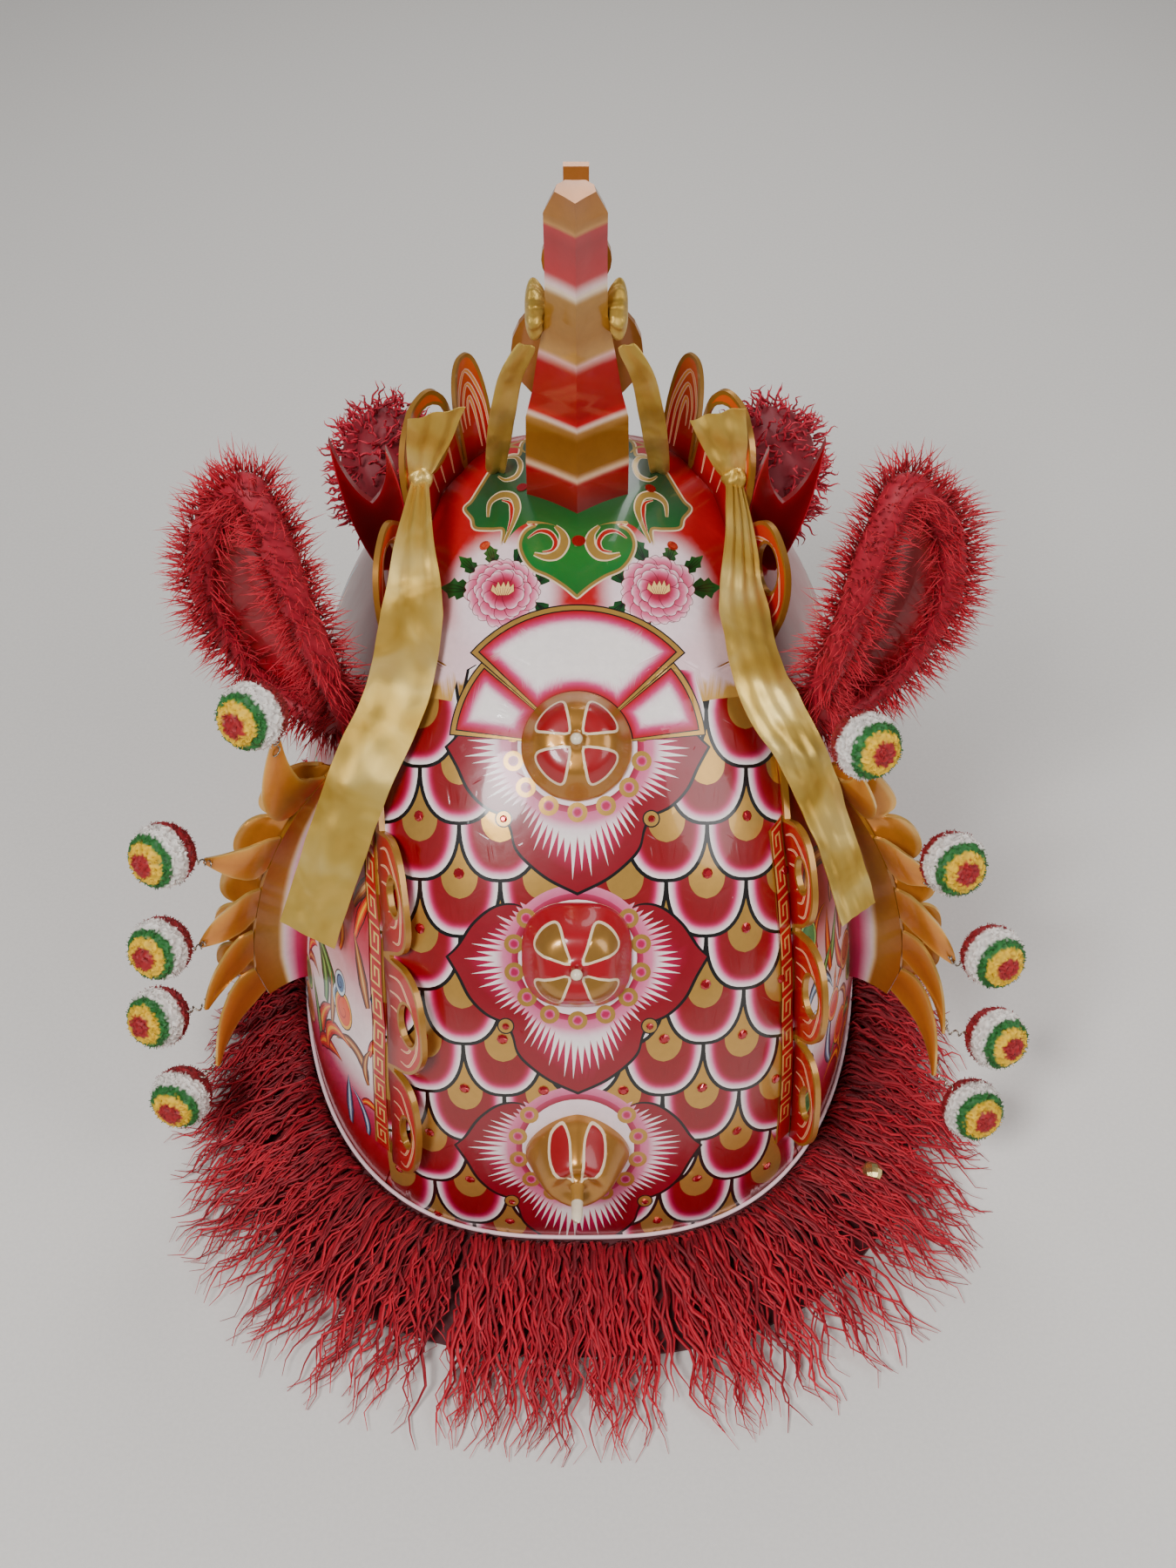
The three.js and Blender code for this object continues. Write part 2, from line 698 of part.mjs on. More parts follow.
// The fret band lies on the head beside the board, outside it on the left and inside on the right
function fretBand(turn) {
  const rows = [];
  const steps = 10;
  for (let k = 0; k <= steps; k += 1) {
    const share = lerp(0.54, 0.985, k / steps);
    const az = readRows(boardLine, "share", share, turn < 0 ? "left" : "right");
    const rise = readRows(boardLine, "share", share, "rise");
    const degree = domePoint(az + 1, rise).distanceTo(domePoint(az, rise));
    const upright = boardFrame(turn, share).up.dot(domeNormal(turn * az, rise));
    const lean = Math.sqrt(1 - upright * upright) / upright;
    const foot = boardThickness / 2 / upright + (fretThickness + 1) * lean + 1.5;
    const middle = az + ((turn < 0 ? 1 : -1) * (foot + fretWidth / 2)) / degree;
    rows.push([-0.5, 0.5].map((v) =>
      domePoint(turn * (middle + (v * fretWidth) / degree), rise, fit + fretThickness / 2 - 0.4),
    ));
  }
  return sheet(rows, fretThickness + 0.8).subtract(seatCutter);
}

const collarSteps = 8;

// A place on the collar: share up its line, and share of the way out to its rim
function collarPoint(turn, up, out) {
  const flares = [0.72, 0.94, 1, 1, 0.98, 0.9, 0.76, 0.5];
  const spot = THREE.MathUtils.clamp(up, 0, 1) * (flares.length - 1);
  const low = Math.min(flares.length - 2, Math.floor(spot));
  const flare = collarFlare * lerp(flares[low], flares[low + 1], spot - low);
  const y = lerp(collarBottomY, collarTopY, up);
  const z = lerp(collarBottom, collarTop, up);
  const x = domeHalfWidth(y, z);
  const curl = out > 0 ? out ** 1.6 : 0;
  return vec(turn * (x + flare * 0.87 * out), y - flare * 0.52 * curl, z);
}

function collar(turn) {
  const rows = [];
  for (let k = 0; k <= collarSteps; k += 1) {
    rows.push([-0.12, 0.3, 0.66, 1].map((out) => collarPoint(turn, k / collarSteps, out)));
  }
  return sheet(rows, collarThickness).subtract(seatCutter);
}

// Round lobes in front of the leaves, held on the far side of the collar's rim
function scallopBoard(turn) {
  const lobes = 5;
  const steps = lobes * 3;
  const forward = collarThickness / 2 + scallopThickness / 2 + fit + 0.5;
  const rows = [];
  for (let k = 0; k <= steps; k += 1) {
    const up = lerp(0.06, 1, k / steps);
    const off = Math.abs(2 * (((lobes * k) / steps) % 1) - 1);
    const round = (1 - Math.min(0.999, off) ** 2.4) ** (1 / 2.4);
    const rim = collarPoint(turn, up, 1);
    const back = collarPoint(turn, up, 0.75);
    const reach = scallopReach * (0.3 + 0.7 * round);
    const lead = vec(0, forward * 1.25, 0);
    rows.push([
      back.clone().add(lead),
      rim.clone().add(lead),
      rim.clone().add(lead).add(vec(turn * reach * 0.55, 1, reach * 0.1)),
      rim.clone().add(lead).add(vec(turn * reach, 0, reach * 0.25)),
    ]);
  }
  return sheet(rows, scallopThickness);
}

// A leaf's tip, from its root on the collar's rim
function leafEnds(turn, row) {
  const tip = turn < 0 ? row.left : row.right;
  const rim = collarPoint(turn, row.at, 1);
  const inside = collarPoint(turn, row.at, 0.9);
  const outward = rim.clone().sub(inside).normalize();
  const root = rim.clone().addScaledVector(outward, fit + 0.15);
  const offset = vec(turn * tip[0], -tip[1], tip[2]).multiplyScalar(leafLength);
  return { root, outward, tip: root.clone().add(offset) };
}

// The middle line of a leaf, the rim's direction at its root and its outer face at the tip
function leafFrame(turn, row) {
  const { root, outward, tip } = leafEnds(turn, row);
  const reach = tip.distanceTo(root);
  const knee = root.clone().addScaledVector(outward, 0.45 * reach);
  const curve = new THREE.QuadraticBezierCurve3(root, knee, tip);
  const low = collarPoint(turn, row.at - 0.06, 1);
  const rimway = collarPoint(turn, row.at + 0.06, 1).sub(low).normalize();
  const along = curve.getTangentAt(1);
  const across = rimway.clone().addScaledVector(along, -rimway.dot(along)).normalize();
  const face = along.cross(across).multiplyScalar(turn).normalize();
  return { curve, rimway, face };
}

function flameLeaf(turn, row, grow = 0) {
  const { curve, rimway } = leafFrame(turn, row);
  const widths = [0.86, 1, 0.95, 0.74, 0.4, 0.1];
  const steps = widths.length - 1;
  const rows = widths.map((wide, k) => {
    const share = k / steps;
    const along = curve.getTangentAt(share);
    const across = rimway.clone().addScaledVector(along, -rimway.dot(along) * share).normalize();
    const half = (leafWidth / 2) * row.wide * wide + grow;
    const cup = along.clone().cross(across).normalize().multiplyScalar(turn * 3 * wide * share);
    return [-1, 0, 1].map((v) =>
      curve.getPointAt(share).addScaledVector(across, half * v)
        .addScaledVector(cup, v === 0 ? 1 : 0),
    );
  });
  return sheet(rows, leafThickness + 2 * grow);
}

function pompom(turn, row, leaf) {
  const from = turn < 0 ? row.left : row.right;
  const offset = vec(turn * from[0], -from[1], from[2]).multiplyScalar(pompomRadius);
  const { curve, face } = leafFrame(turn, leaf);
  const proud = (leafThickness / 2 + wireRadius) * (offset.dot(face) < 0 ? -1 : 1);
  const start = curve.getPointAt(0.88).addScaledVector(face, proud);
  const tip = curve.getPointAt(1).addScaledVector(face, proud);
  const center = tip.clone().add(offset);
  const radii = vec(pompomRadius, pompomRadius, pompomRadius);
  const wool = woolBall(center, radii, 8, 6, 0.03);
  const wire = bar([start, tip, center], Array(3).fill(wireRadius), 5);
  return wool.add(wire).subtract(flameLeaf(turn, leaf, fit));
}

// The ear's own frame: root on the side of the head, rising, opening backward and outward
function earPlace(turn, along, across, deep) {
  const rootX = domeHalfWidth(earRootY, earRootZ) + earHalfWidth * 0.42;
  const root = vec(turn * rootX, earRootY, earRootZ);
  const rise = vec(turn * 0.12, 0.02, 1).normalize();
  const wide = vec(turn * 0.86, 0.5, 0).normalize();
  const face = vec(turn * 0.48, -0.85, 0.12).normalize();
  const bow = Math.sin(Math.PI * along) * 0.1 * earLength * turn;
  return root
    .addScaledVector(rise, along * earLength)
    .addScaledVector(wide, across)
    .addScaledVector(face, -deep)
    .add(vec(bow, 0, 0));
}

// Half the ear's width at a share of its length
function earWidthAt(along) {
  const spot = Math.min(1, 0.1 + along * 0.9) ** 0.8;
  return earHalfWidth * Math.sin(Math.PI * spot) ** 0.7;
}

// The cup's wall, or the same wall grown all round to cut its clearance
function earWallSolid(turn, grow) {
  const rows = [];
  const steps = 6;
  const end = grow / earLength;
  for (let k = 0; k <= steps; k += 1) {
    const along = lerp(0.02 - end, 0.97 + end, k / steps);
    const half = Math.max(2, earWidthAt(lerp(0.02, 0.97, k / steps))) + grow;
    const deepest = earDepth * Math.sin(Math.PI * lerp(0.1, 0.95, k / steps)) ** 0.6;
    const depth = Math.min(deepest, 0.6 * earWidthAt(lerp(0.02, 0.97, k / steps)));
    rows.push([-1, -0.6, 0, 0.6, 1].map((v) => earPlace(turn, along, half * v, depth * (1 - v * v))));
  }
  return sheet(rows, earWall + 2 * grow);
}

function earCup(turn) {
  return earWallSolid(turn, 0).subtract(seatCutter);
}

// The fur edge wraps the cup's lip
function earFur(turn) {
  const stations = 18;
  const around = 5;
  const rings = [];
  for (let k = 0; k < stations; k += 1) {
    const angle = (2 * Math.PI * k) / stations;
    const along = 0.5 - 0.47 * Math.cos(angle);
    const side = Math.sin(angle) >= 0 ? 1 : -1;
    const off = Math.abs(Math.sin(angle));
    const half = earWidthAt(THREE.MathUtils.clamp(along, 0.02, 0.97)) * Math.min(1, off * 2);
    const lip = earPlace(turn, along, side * half, 0);
    const beyond = along - 0.12 * Math.cos(angle);
    const outward = earPlace(turn, beyond, side * (half + 20 * off), 0).sub(lip).normalize();
    const face = earPlace(turn, 0, 0, -1).sub(earPlace(turn, 0, 0, 0));
    const center = lip.clone().addScaledVector(outward, earFurRadius * 0.5);
    const lock = k % 2 === 0 ? 0.22 : 0;
    rings.push(
      Array.from({ length: around }, (_, i) => {
        const turnOut = (2 * Math.PI * i) / around;
        const reach = earFurRadius * (1 + lock * Math.max(0, Math.cos(turnOut)));
        return center
          .clone()
          .addScaledVector(outward, reach * Math.cos(turnOut))
          .addScaledVector(face, reach * Math.sin(turnOut));
      }),
    );
  }
  return skinRings(rings, true).subtract(seatCutter).subtract(earWallSolid(turn, 2 * fit));
}

function antler(turn) {
  const half = antlerWidth / 2;
  const shape = new THREE.Shape();
  shape.moveTo(-half * 0.3, -overreach);
  shape.lineTo(half * 0.4, -overreach);
  shape.quadraticCurveTo(half * 1.2, antlerHeight * 0.35, half, antlerHeight);
  shape.quadraticCurveTo(half * 0.75, antlerHeight * 0.6, half * 0.1, antlerHeight * 0.5);
  shape.quadraticCurveTo(-half * 0.6, antlerHeight * 0.62, -half * 0.7, antlerHeight * 0.9);
  shape.quadraticCurveTo(-half * 1.25, antlerHeight * 0.35, -half * 0.3, -overreach);
  const solid = new THREE.ExtrudeGeometry(shape, {
    depth: antlerThickness,
    bevelEnabled: false,
    curveSegments: 6,
  });
  solid.rotateX(Math.PI / 2);
  solid.scale(turn, 1, 1);
  const foot = domePoint(turn * 86, 57);
  solid.rotateY(turn * rad(6));
  solid.translate(foot.x + turn * 3, antlerY, foot.z);
  return toSolid(solid).subtract(seatCutter);
}

function mane(turn) {
  const center = domePoint(turn * 112, 55, maneRadius * 0.45);
  const radii = vec(maneRadius * 0.75, maneRadius, maneRadius);
  return woolBall(center, radii, 12, 7, 0.08).subtract(seatCutter);
}

// One ribbon: a bow standing over the knot, the knot, and the long tail down to the cut end
function ribbon(turn) {
  const column = turn < 0 ? "left" : "right";
  const open = turn < 0 ? "openLeft" : "openRight";
  const seat = boardFrame(turn, knotShare);
  const back = seat.along.clone().cross(seat.up).normalize();
  if (back.y > 0) back.negate();
  const tied = seat.foot
    .clone()
    .addScaledVector(seat.up, knotHeight)
    .addScaledVector(back, boardThickness / 2 + knotRadius - 1.5);
  const spots = tailRows.map((row) =>
    domePoint(turn * row[column], row.rise, ribbonLift * row.lift),
  );
  spots[0] = tied;
  const curve = new THREE.CatmullRomCurve3(spots);
  const steps = 12;
  const rows = [];
  for (let k = 0; k <= steps; k += 1) {
    const share = k / steps;
    const spot = curve.getPointAt(share);
    const along = curve.getTangentAt(share);
    const outward = vec(turn < 0 ? -0.15 : 0.5, -0.6, 0.7).normalize();
    const across = along.clone().cross(outward).normalize();
    const wide = (ribbonWidth / 2) * readRows(tailRows, "share", share, open);
    rows.push([-1, -0.4, 0.3, 1].map((v, c) =>
      spot.clone().addScaledVector(across, wide * v).addScaledVector(outward, (c % 2) * 2.2),
    ));
  }
  const knot = curve.getPointAt(0);
  const bow = [];
  for (let k = 0; k <= 5; k += 1) {
    const share = k / 5;
    const wide = lerp(5, ribbonWidth * 0.55, Math.sqrt(share));
    const height = share * ribbonWidth * 1.15;
    const lean = vec(-turn * height * 0.28, height * 0.12, height);
    bow.push([-1, 0, 1].map((v) =>
      knot.clone().add(lean).add(vec(v * wide * 0.8, v * wide * 0.3, 0)),
    ));
  }
  return sheet(rows, ribbonThickness)
    .add(ball(knot, knotRadius, 8, 5))
    .add(sheet(bow, ribbonThickness))
    .subtract(boardSolid(turn, fit))
    .subtract(flameLeaf(turn, leafRows[0], fit));
}

// Piping round the rim line
function rimPiping() {
  const rings = Array.from({ length: domeColumns }, (_, k) => {
    const az = (360 * k) / domeColumns;
    const center = domePoint(az, 0, fit + pipingRadius);
    const out = domePoint(az, 0, fit + pipingRadius + 1).sub(center).normalize();
    return Array.from({ length: 5 }, (_, i) => {
      const angle = (2 * Math.PI * i) / 5;
      const ring = center.clone().addScaledVector(out, pipingRadius * Math.cos(angle));
      ring.z += pipingRadius * Math.sin(angle);
      return ring;
    });
  });
  return skinRings(rings, true);
}

const bellAz = 47;
const bellShare = 0.36;

function fringeReachAt(az) {
  const turned = Math.abs(((az + 180) % 360) - 180);
  return fringeReach * readRows(fringeRows, "az", turned, "reach");
}

function bellCenter() {
  return domePoint(bellAz, 0, fringeReachAt(bellAz) * bellShare).add(vec(0, 0, 2 - rimDrop / 4));
}

// Wool locks sewn below the piping, spreading over the ground
function fringe() {
  const below = -pipingRadius - fit - 0.5;
  const rings = [];
  for (let k = 0; k < 2 * fringeLocks; k += 1) {
    const az = (180 * k) / fringeLocks;
    const long = k % 2 === 0 ? 1 : 0.8;
    const reach = fringeReachAt(az) * long * (1 + 0.05 * Math.sin(7 * k));
    const high = k % 2 === 0 ? 1 : 0.78;
    const profile = [
      { out: -2, z: below },
      { out: 4, z: below },
      { out: reach * 0.2, z: lerp(-rimDrop, fringeHeight - rimDrop, high) - 3 },
      { out: reach * 0.6, z: lerp(-rimDrop, fringeHeight - rimDrop, 0.55 * high) },
      { out: reach, z: -rimDrop + 3 },
      { out: reach * 0.97, z: -rimDrop },
      { out: -2, z: -rimDrop },
    ];
    rings.push(profile.map(({ out, z }) => {
      const point = domePoint(az, 0, out);
      point.z = z;
      return point;
    }));
  }
  return skinRings(rings, true).subtract(seatCutter).subtract(ball(bellCenter(), bellRadius + fit + 0.4));
}

function bell() {
  const center = bellCenter();
  const slot = new THREE.BoxGeometry(bellRadius * 1.3, 1.6, bellRadius);
  slot.translate(center.x, center.y, center.z - bellRadius * 0.9);
  return ball(center, bellRadius, 12, 8).subtract(toSolid(slot));
}

// Assembly
addPiece("head_shell", headShell(), "#a8142f", 0.35);
addPiece("face_mask", faceMask(), "#b0152a", 0.4);
bosses.forEach((row) => addPiece(row.name, boss(row), row.tint, 0.4));
addPiece("horn", hornSolid(0).subtract(seatCutter), "#b01222", 0.35);
addPiece("gourd_plaque", gourdPlaque(), "#c98f4e", 0.5);
sides.forEach(({ word, turn }) => {
  addPiece(`rosette_${word}`, rosette(turn), "#c9a545", 0.35, 0.6);
  addPiece(`ribbon_swag_${word}`, ribbonSwag(turn), "#c9a545", 0.35, 0.6);
  addPiece(`crest_board_${word}`, crestBoard(turn), "#b58c42", 0.45);
  addPiece(`fret_band_${word}`, fretBand(turn), "#b0182a", 0.5);
  addPiece(`collar_${word}`, collar(turn), "#b8175a", 0.35);
  addPiece(`scallop_board_${word}`, scallopBoard(turn), "#b8702a", 0.45);
  leafRows.forEach((row, k) => {
    addPiece(`flame_leaf_${word}_${k + 1}`, flameLeaf(turn, row), "#b8702a", 0.45);
    addPiece(`pompom_${word}_${k + 1}`, pompom(turn, pompomRows[k], row), "#e8dcd6", 1);
  });
  addPiece(`ear_cup_${word}`, earCup(turn), "#b01222", 0.25);
  addPiece(`ear_fur_${word}`, earFur(turn), "#d02438", 1);
  addPiece(`antler_${word}`, antler(turn), "#7e0016", 0.2);
  addPiece(`mane_${word}`, mane(turn), "#c01a30", 1);
  addPiece(`ribbon_${word}`, ribbon(turn), "#c9a545", 0.35, 0.6);
});
addPiece("rim_piping", rimPiping(), "#f0dee2", 0.5);
addPiece("fringe", fringe(), "#b3122e", 1);
addPiece("bell", bell(), "#b8923c", 0.3, 0.9);

// The origin lies on the ground at the middle of the outline
const group = new THREE.Group();
group.add(...made);
const bounds = new THREE.Box3().setFromObject(group);
const middle = bounds.getCenter(vec(0, 0, 0));
group.position.set(-middle.x, -middle.y, rimDrop);
group.updateMatrixWorld(true);

export default group;
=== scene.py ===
import math
import random

import bmesh
import bpy
import numpy as np
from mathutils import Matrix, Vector
from mathutils.bvhtree import BVHTree
from mathutils.geometry import delaunay_2d_cdt


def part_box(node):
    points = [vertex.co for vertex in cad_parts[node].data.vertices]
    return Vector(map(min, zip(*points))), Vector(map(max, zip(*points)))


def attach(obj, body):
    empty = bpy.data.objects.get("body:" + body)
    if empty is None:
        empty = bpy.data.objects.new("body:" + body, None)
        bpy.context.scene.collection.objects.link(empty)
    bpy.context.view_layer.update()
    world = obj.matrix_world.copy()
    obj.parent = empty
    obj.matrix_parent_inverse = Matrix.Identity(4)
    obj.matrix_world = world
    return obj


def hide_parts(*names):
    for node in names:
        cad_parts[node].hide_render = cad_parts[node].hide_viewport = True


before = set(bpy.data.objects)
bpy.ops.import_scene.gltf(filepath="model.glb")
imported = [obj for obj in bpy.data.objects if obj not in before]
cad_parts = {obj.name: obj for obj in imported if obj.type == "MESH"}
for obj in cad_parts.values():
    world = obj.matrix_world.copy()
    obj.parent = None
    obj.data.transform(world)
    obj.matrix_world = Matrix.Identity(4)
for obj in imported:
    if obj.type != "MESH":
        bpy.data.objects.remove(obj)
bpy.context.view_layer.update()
print("frame loaded")

# The head's own form, which every painted skin follows
head = {
    "widest": 0.400,  # forward of the nape, metres
    "rim": 0.025,  # piping line above the ground
    "planPower": 2.75,  # how square it is seen from above
    "risePower": 2.2,  # how square it is seen from the side
}
shellLow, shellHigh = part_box("head_shell")
centreX = (shellLow.x + shellHigh.x) / 2
halfWidth = (shellHigh.x - shellLow.x) / 2
widestY = shellLow.y + head["widest"]
browLength = shellHigh.y - widestY
crownHeight = shellHigh.z - head["rim"]
mm = 0.001


def linear(hexText):
    raw = [int(hexText[i:i + 2], 16) / 255 for i in (1, 3, 5)]
    return [c / 12.92 if c <= 0.04045 else ((c + 0.055) / 1.055) ** 2.4 for c in raw]


def signedPower(value, power):
    return np.sign(value) * np.abs(value) ** power


# A point on the head from degrees round it (nape 0, right positive), degrees up it and a lift in metres
def domePoint(az, rise, lift=0.0):
    az, rise = np.radians(np.asarray(az, float)), np.radians(np.asarray(rise, float))
    out = np.maximum(np.cos(rise), 0) ** (2 / head["risePower"])
    length = np.where(np.cos(az) > 0, head["widest"], browLength) + lift
    x = centreX + (halfWidth + lift) * out * signedPower(np.sin(az), 2 / head["planPower"])
    y = widestY - length * out * signedPower(np.cos(az), 2 / head["planPower"])
    z = head["rim"] + (crownHeight + lift) * np.maximum(np.sin(rise), 0) ** (2 / head["risePower"])
    return np.stack(np.broadcast_arrays(x, y, z), -1)


def domeNormal(az, rise):
    step = 0.5
    across = domePoint(az + step, rise) - domePoint(az - step, rise)
    up = domePoint(az, rise + step) - domePoint(az, rise - step)
    normal = np.cross(across, up)
    return normal / np.linalg.norm(normal, axis=-1, keepdims=True)


# The photo looks down on the back of the head at this slope; the back's painting is laid out square to it
camera = {"slope": 48, "distance": 1.2, "aimX": 0.0078, "aimBack": 0.251, "aimUp": 0.365, "lens": 40}
slope = math.radians(camera["slope"])
lookDir = np.array([0, math.cos(slope), -math.sin(slope)])
lookUp = np.array([0, math.sin(slope), math.cos(slope)])
panelOrigin = np.array([centreX, widestY - camera["aimBack"], head["rim"] + camera["aimUp"]])


def insideHead(points, lift):
    x = np.abs(points[:, 0] - centreX) / (halfWidth + lift)
    length = np.where(points[:, 1] < widestY, head["widest"], browLength) + lift
    y = np.abs(points[:, 1] - widestY) / length
    z = np.maximum(points[:, 2] - head["rim"], 0) / (crownHeight + lift)
    plan = (x ** head["planPower"] + y ** head["planPower"]) ** (head["risePower"] / head["planPower"])
    return plan + z ** head["risePower"] - 1


# Panel places in millimetres, across and up as the photo shows them, onto the head
def panelPoint(places, lift):
    places = np.asarray(places, float).reshape(-1, 2) * mm
    base = panelOrigin + places[:, :1] * np.array([1.0, 0, 0]) + places[:, 1:] * lookUp
    near, far = np.full(len(places), -0.7), np.full(len(places), 0.7)
    low, high = near.copy(), far.copy()
    for _ in range(44):  # the deepest place on each line of sight
        a, b = low + (high - low) / 3, high - (high - low) / 3
        deeper = insideHead(base + a[:, None] * lookDir, lift) > insideHead(base + b[:, None] * lookDir, lift)
        low, high = np.where(deeper, a, low), np.where(deeper, high, b)
    high = (low + high) / 2
    low = near
    for _ in range(44):  # where the line of sight goes in
        middle = (low + high) / 2
        out = insideHead(base + middle[:, None] * lookDir, lift) > 0
        low, high = np.where(out, middle, low), np.where(out, high, middle)
    return base + high[:, None] * lookDir


def headToPanel(points):
    rel = np.asarray(points, float) - panelOrigin
    return np.stack([rel[..., 0], rel @ lookUp], -1) / mm


# Nodes and materials

def addNode(tree, kind, inputs=None, **settings):
    node = tree.nodes.new(kind)
    for key, value in settings.items():
        setattr(node, key, value)
    for key, value in (inputs or {}).items():
        socket = node.inputs[key]
        if isinstance(value, bpy.types.NodeSocket):
            tree.links.new(value, socket)
        else:
            socket.default_value = value
    return node


def newMaterial(name):
    material = bpy.data.materials.new(name)
    material.use_nodes = True
    tree = material.node_tree
    tree.nodes.clear()
    shader = addNode(tree, "ShaderNodeBsdfPrincipled")
    output = addNode(tree, "ShaderNodeOutputMaterial")
    tree.links.new(shader.outputs["BSDF"], output.inputs["Surface"])
    coords = addNode(tree, "ShaderNodeTexCoord")
    return material, tree, shader, coords.outputs["Object"]


def rgba(colour):
    return (*(linear(colour) if isinstance(colour, str) else colour), 1.0)


def rampNode(tree, factor, stops, interpolation="LINEAR"):
    ramp = addNode(tree, "ShaderNodeValToRGB", {"Fac": factor})
    ramp.color_ramp.interpolation = interpolation
    while len(ramp.color_ramp.elements) < len(stops):
        ramp.color_ramp.elements.new(1.0)
    for element, (spot, colour) in zip(ramp.color_ramp.elements, stops):
        element.position = spot
        element.color = rgba(colour)
    return ramp


# Poster paint brushed on papier mache under a clear varnish: flat colour, glossy, faintly uneven;
# gold paint is a mica metallic with brush marks
def varnishedPaint():
    material, tree, shader, coords = newMaterial("varnishedPaint")
    paint = addNode(tree, "ShaderNodeAttribute", attribute_name="paint")
    gold = addNode(tree, "ShaderNodeAttribute", attribute_name="gold")
    brush = addNode(tree, "ShaderNodeTexNoise", {"Vector": coords, "Scale": 180.0, "Detail": 4.0,
                                                 "Roughness": 0.6})
    patch = addNode(tree, "ShaderNodeTexNoise", {"Vector": coords, "Scale": 34.0, "Detail": 2.0})
    tone = addNode(tree, "ShaderNodeMapRange", {"Value": brush.outputs["Fac"], "From Min": 0.3,
                                                "From Max": 0.7,
                                                "To Min": 0.86, "To Max": 1.12})
    worn = addNode(tree, "ShaderNodeMix", {0: 0.35, "A": (1, 1, 1, 1)}, data_type="RGBA",
                   blend_type="MULTIPLY")
    tree.links.new(tone.outputs[0], worn.inputs[7])
    deep = addNode(tree, "ShaderNodeGamma", {"Color": paint.outputs["Color"], "Gamma": 1.25})
    tree.links.new(deep.outputs[0], worn.inputs[6])
    tree.links.new(worn.outputs[2], shader.inputs["Base Color"])
    metal = addNode(tree, "ShaderNodeMath", {0: gold.outputs["Fac"], 1: 0.55}, operation="MULTIPLY")
    tree.links.new(metal.outputs[0], shader.inputs["Metallic"])
    rough = addNode(tree, "ShaderNodeMapRange", {"Value": patch.outputs["Fac"], "To Min": 0.24,
                                                 "To Max": 0.42})
    tree.links.new(rough.outputs[0], shader.inputs["Roughness"])
    strokes = addNode(tree, "ShaderNodeMath", {0: brush.outputs["Fac"], 1: 0.16}, operation="MULTIPLY")
    height = addNode(tree, "ShaderNodeMath", {0: patch.outputs["Fac"], 1: strokes.outputs[0]},
                     operation="ADD")
    bump = addNode(tree, "ShaderNodeBump", {"Strength": 0.16, "Distance": 0.002, "Height": height.outputs[0]})
    tree.links.new(bump.outputs[0], shader.inputs["Normal"])
    shader.inputs["Coat Weight"].default_value = 0.45
    shader.inputs["Coat Roughness"].default_value = 0.06
    return material


paintMaterial = varnishedPaint()


# Meshes from arrays

def makePiece(name, points, faces, material, smooth=True, sharp=42):
    mesh = bpy.data.meshes.new(name)
    mesh.from_pydata([tuple(p) for p in np.asarray(points).tolist()], [],
                     faces if isinstance(faces, list) else faces.tolist())
    mesh.update()
    mesh.materials.append(material)
    if smooth:
        mesh.polygons.foreach_set("use_smooth", [True] * len(mesh.polygons))
        if sharp:
            mesh.set_sharp_from_angle(angle=math.radians(sharp))
    piece = bpy.data.objects.new(name, mesh)
    bpy.context.scene.collection.objects.link(piece)
    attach(piece, "root")
    return piece


def paintCorners(mesh, colours, gold):
    data = np.ones((len(mesh.loops), 4), np.float32)
    data[:, :3] = colours
    layer = mesh.color_attributes.new(name="paint", type="FLOAT_COLOR", domain="CORNER")
    layer.data.foreach_set("color", data.ravel())
    shine = mesh.attributes.new(name="gold", type="FLOAT", domain="CORNER")
    shine.data.foreach_set("value", np.asarray(gold, np.float32))


def paintPoints(mesh, colours, gold):
    corner = np.empty(len(mesh.loops), np.int32)
    mesh.loops.foreach_get("vertex_index", corner)
    paintCorners(mesh, np.asarray(colours)[corner], np.asarray(gold)[corner])


# The faces of a grid of points, wrapping round or not
def gridFaces(rows, columns, wrap=False):
    r, c = np.meshgrid(np.arange(rows - 1), np.arange(columns if wrap else columns - 1), indexing="ij")
    a, b = r * columns + c, r * columns + (c + 1) % columns
    return np.stack([a, b, b + columns, a + columns], -1).reshape(-1, 4)


# A wall from a grid of outer points and a grid of inner ones, closed round its edge
def wallFaces(rows, columns, wrap=False):
    outer = gridFaces(rows, columns, wrap)
    shift = rows * columns
    inner = outer[:, ::-1] + shift
    ids = np.arange(rows * columns).reshape(rows, columns)
    loops = [ids[0], ids[-1][::-1]] if wrap else [np.concatenate([ids[0], ids[1:, -1], ids[-1, -2::-1],
                                                                  ids[-2:0:-1, 0]])]
    sides = []
    for loop in loops:
        nxt = np.roll(loop, -1)
        sides.append(np.stack([nxt, loop, loop + shift, nxt + shift], -1))
    return np.concatenate([outer, inner, *sides])


def smoothLine(points, closed=False, steps=6):
    points = np.asarray(points, float)
    count = len(points)
    spans = count if closed else count - 1
    line = []
    for i in range(spans):
        if closed:
            p0, p1, p2, p3 = (points[(i + k) % count] for k in (-1, 0, 1, 2))
        else:
            p0, p1, p2, p3 = (points[min(max(i + k, 0), count - 1)] for k in (-1, 0, 1, 2))
        for t in np.arange(steps) / steps:
            line.append(0.5 * (2 * p1 + (p2 - p0) * t + (2 * p0 - 5 * p1 + 4 * p2 - p3) * t * t
                               + (3 * p1 - p0 - 3 * p2 + p3) * t ** 3))
    if not closed:
        line.append(points[-1])
    return np.array(line)


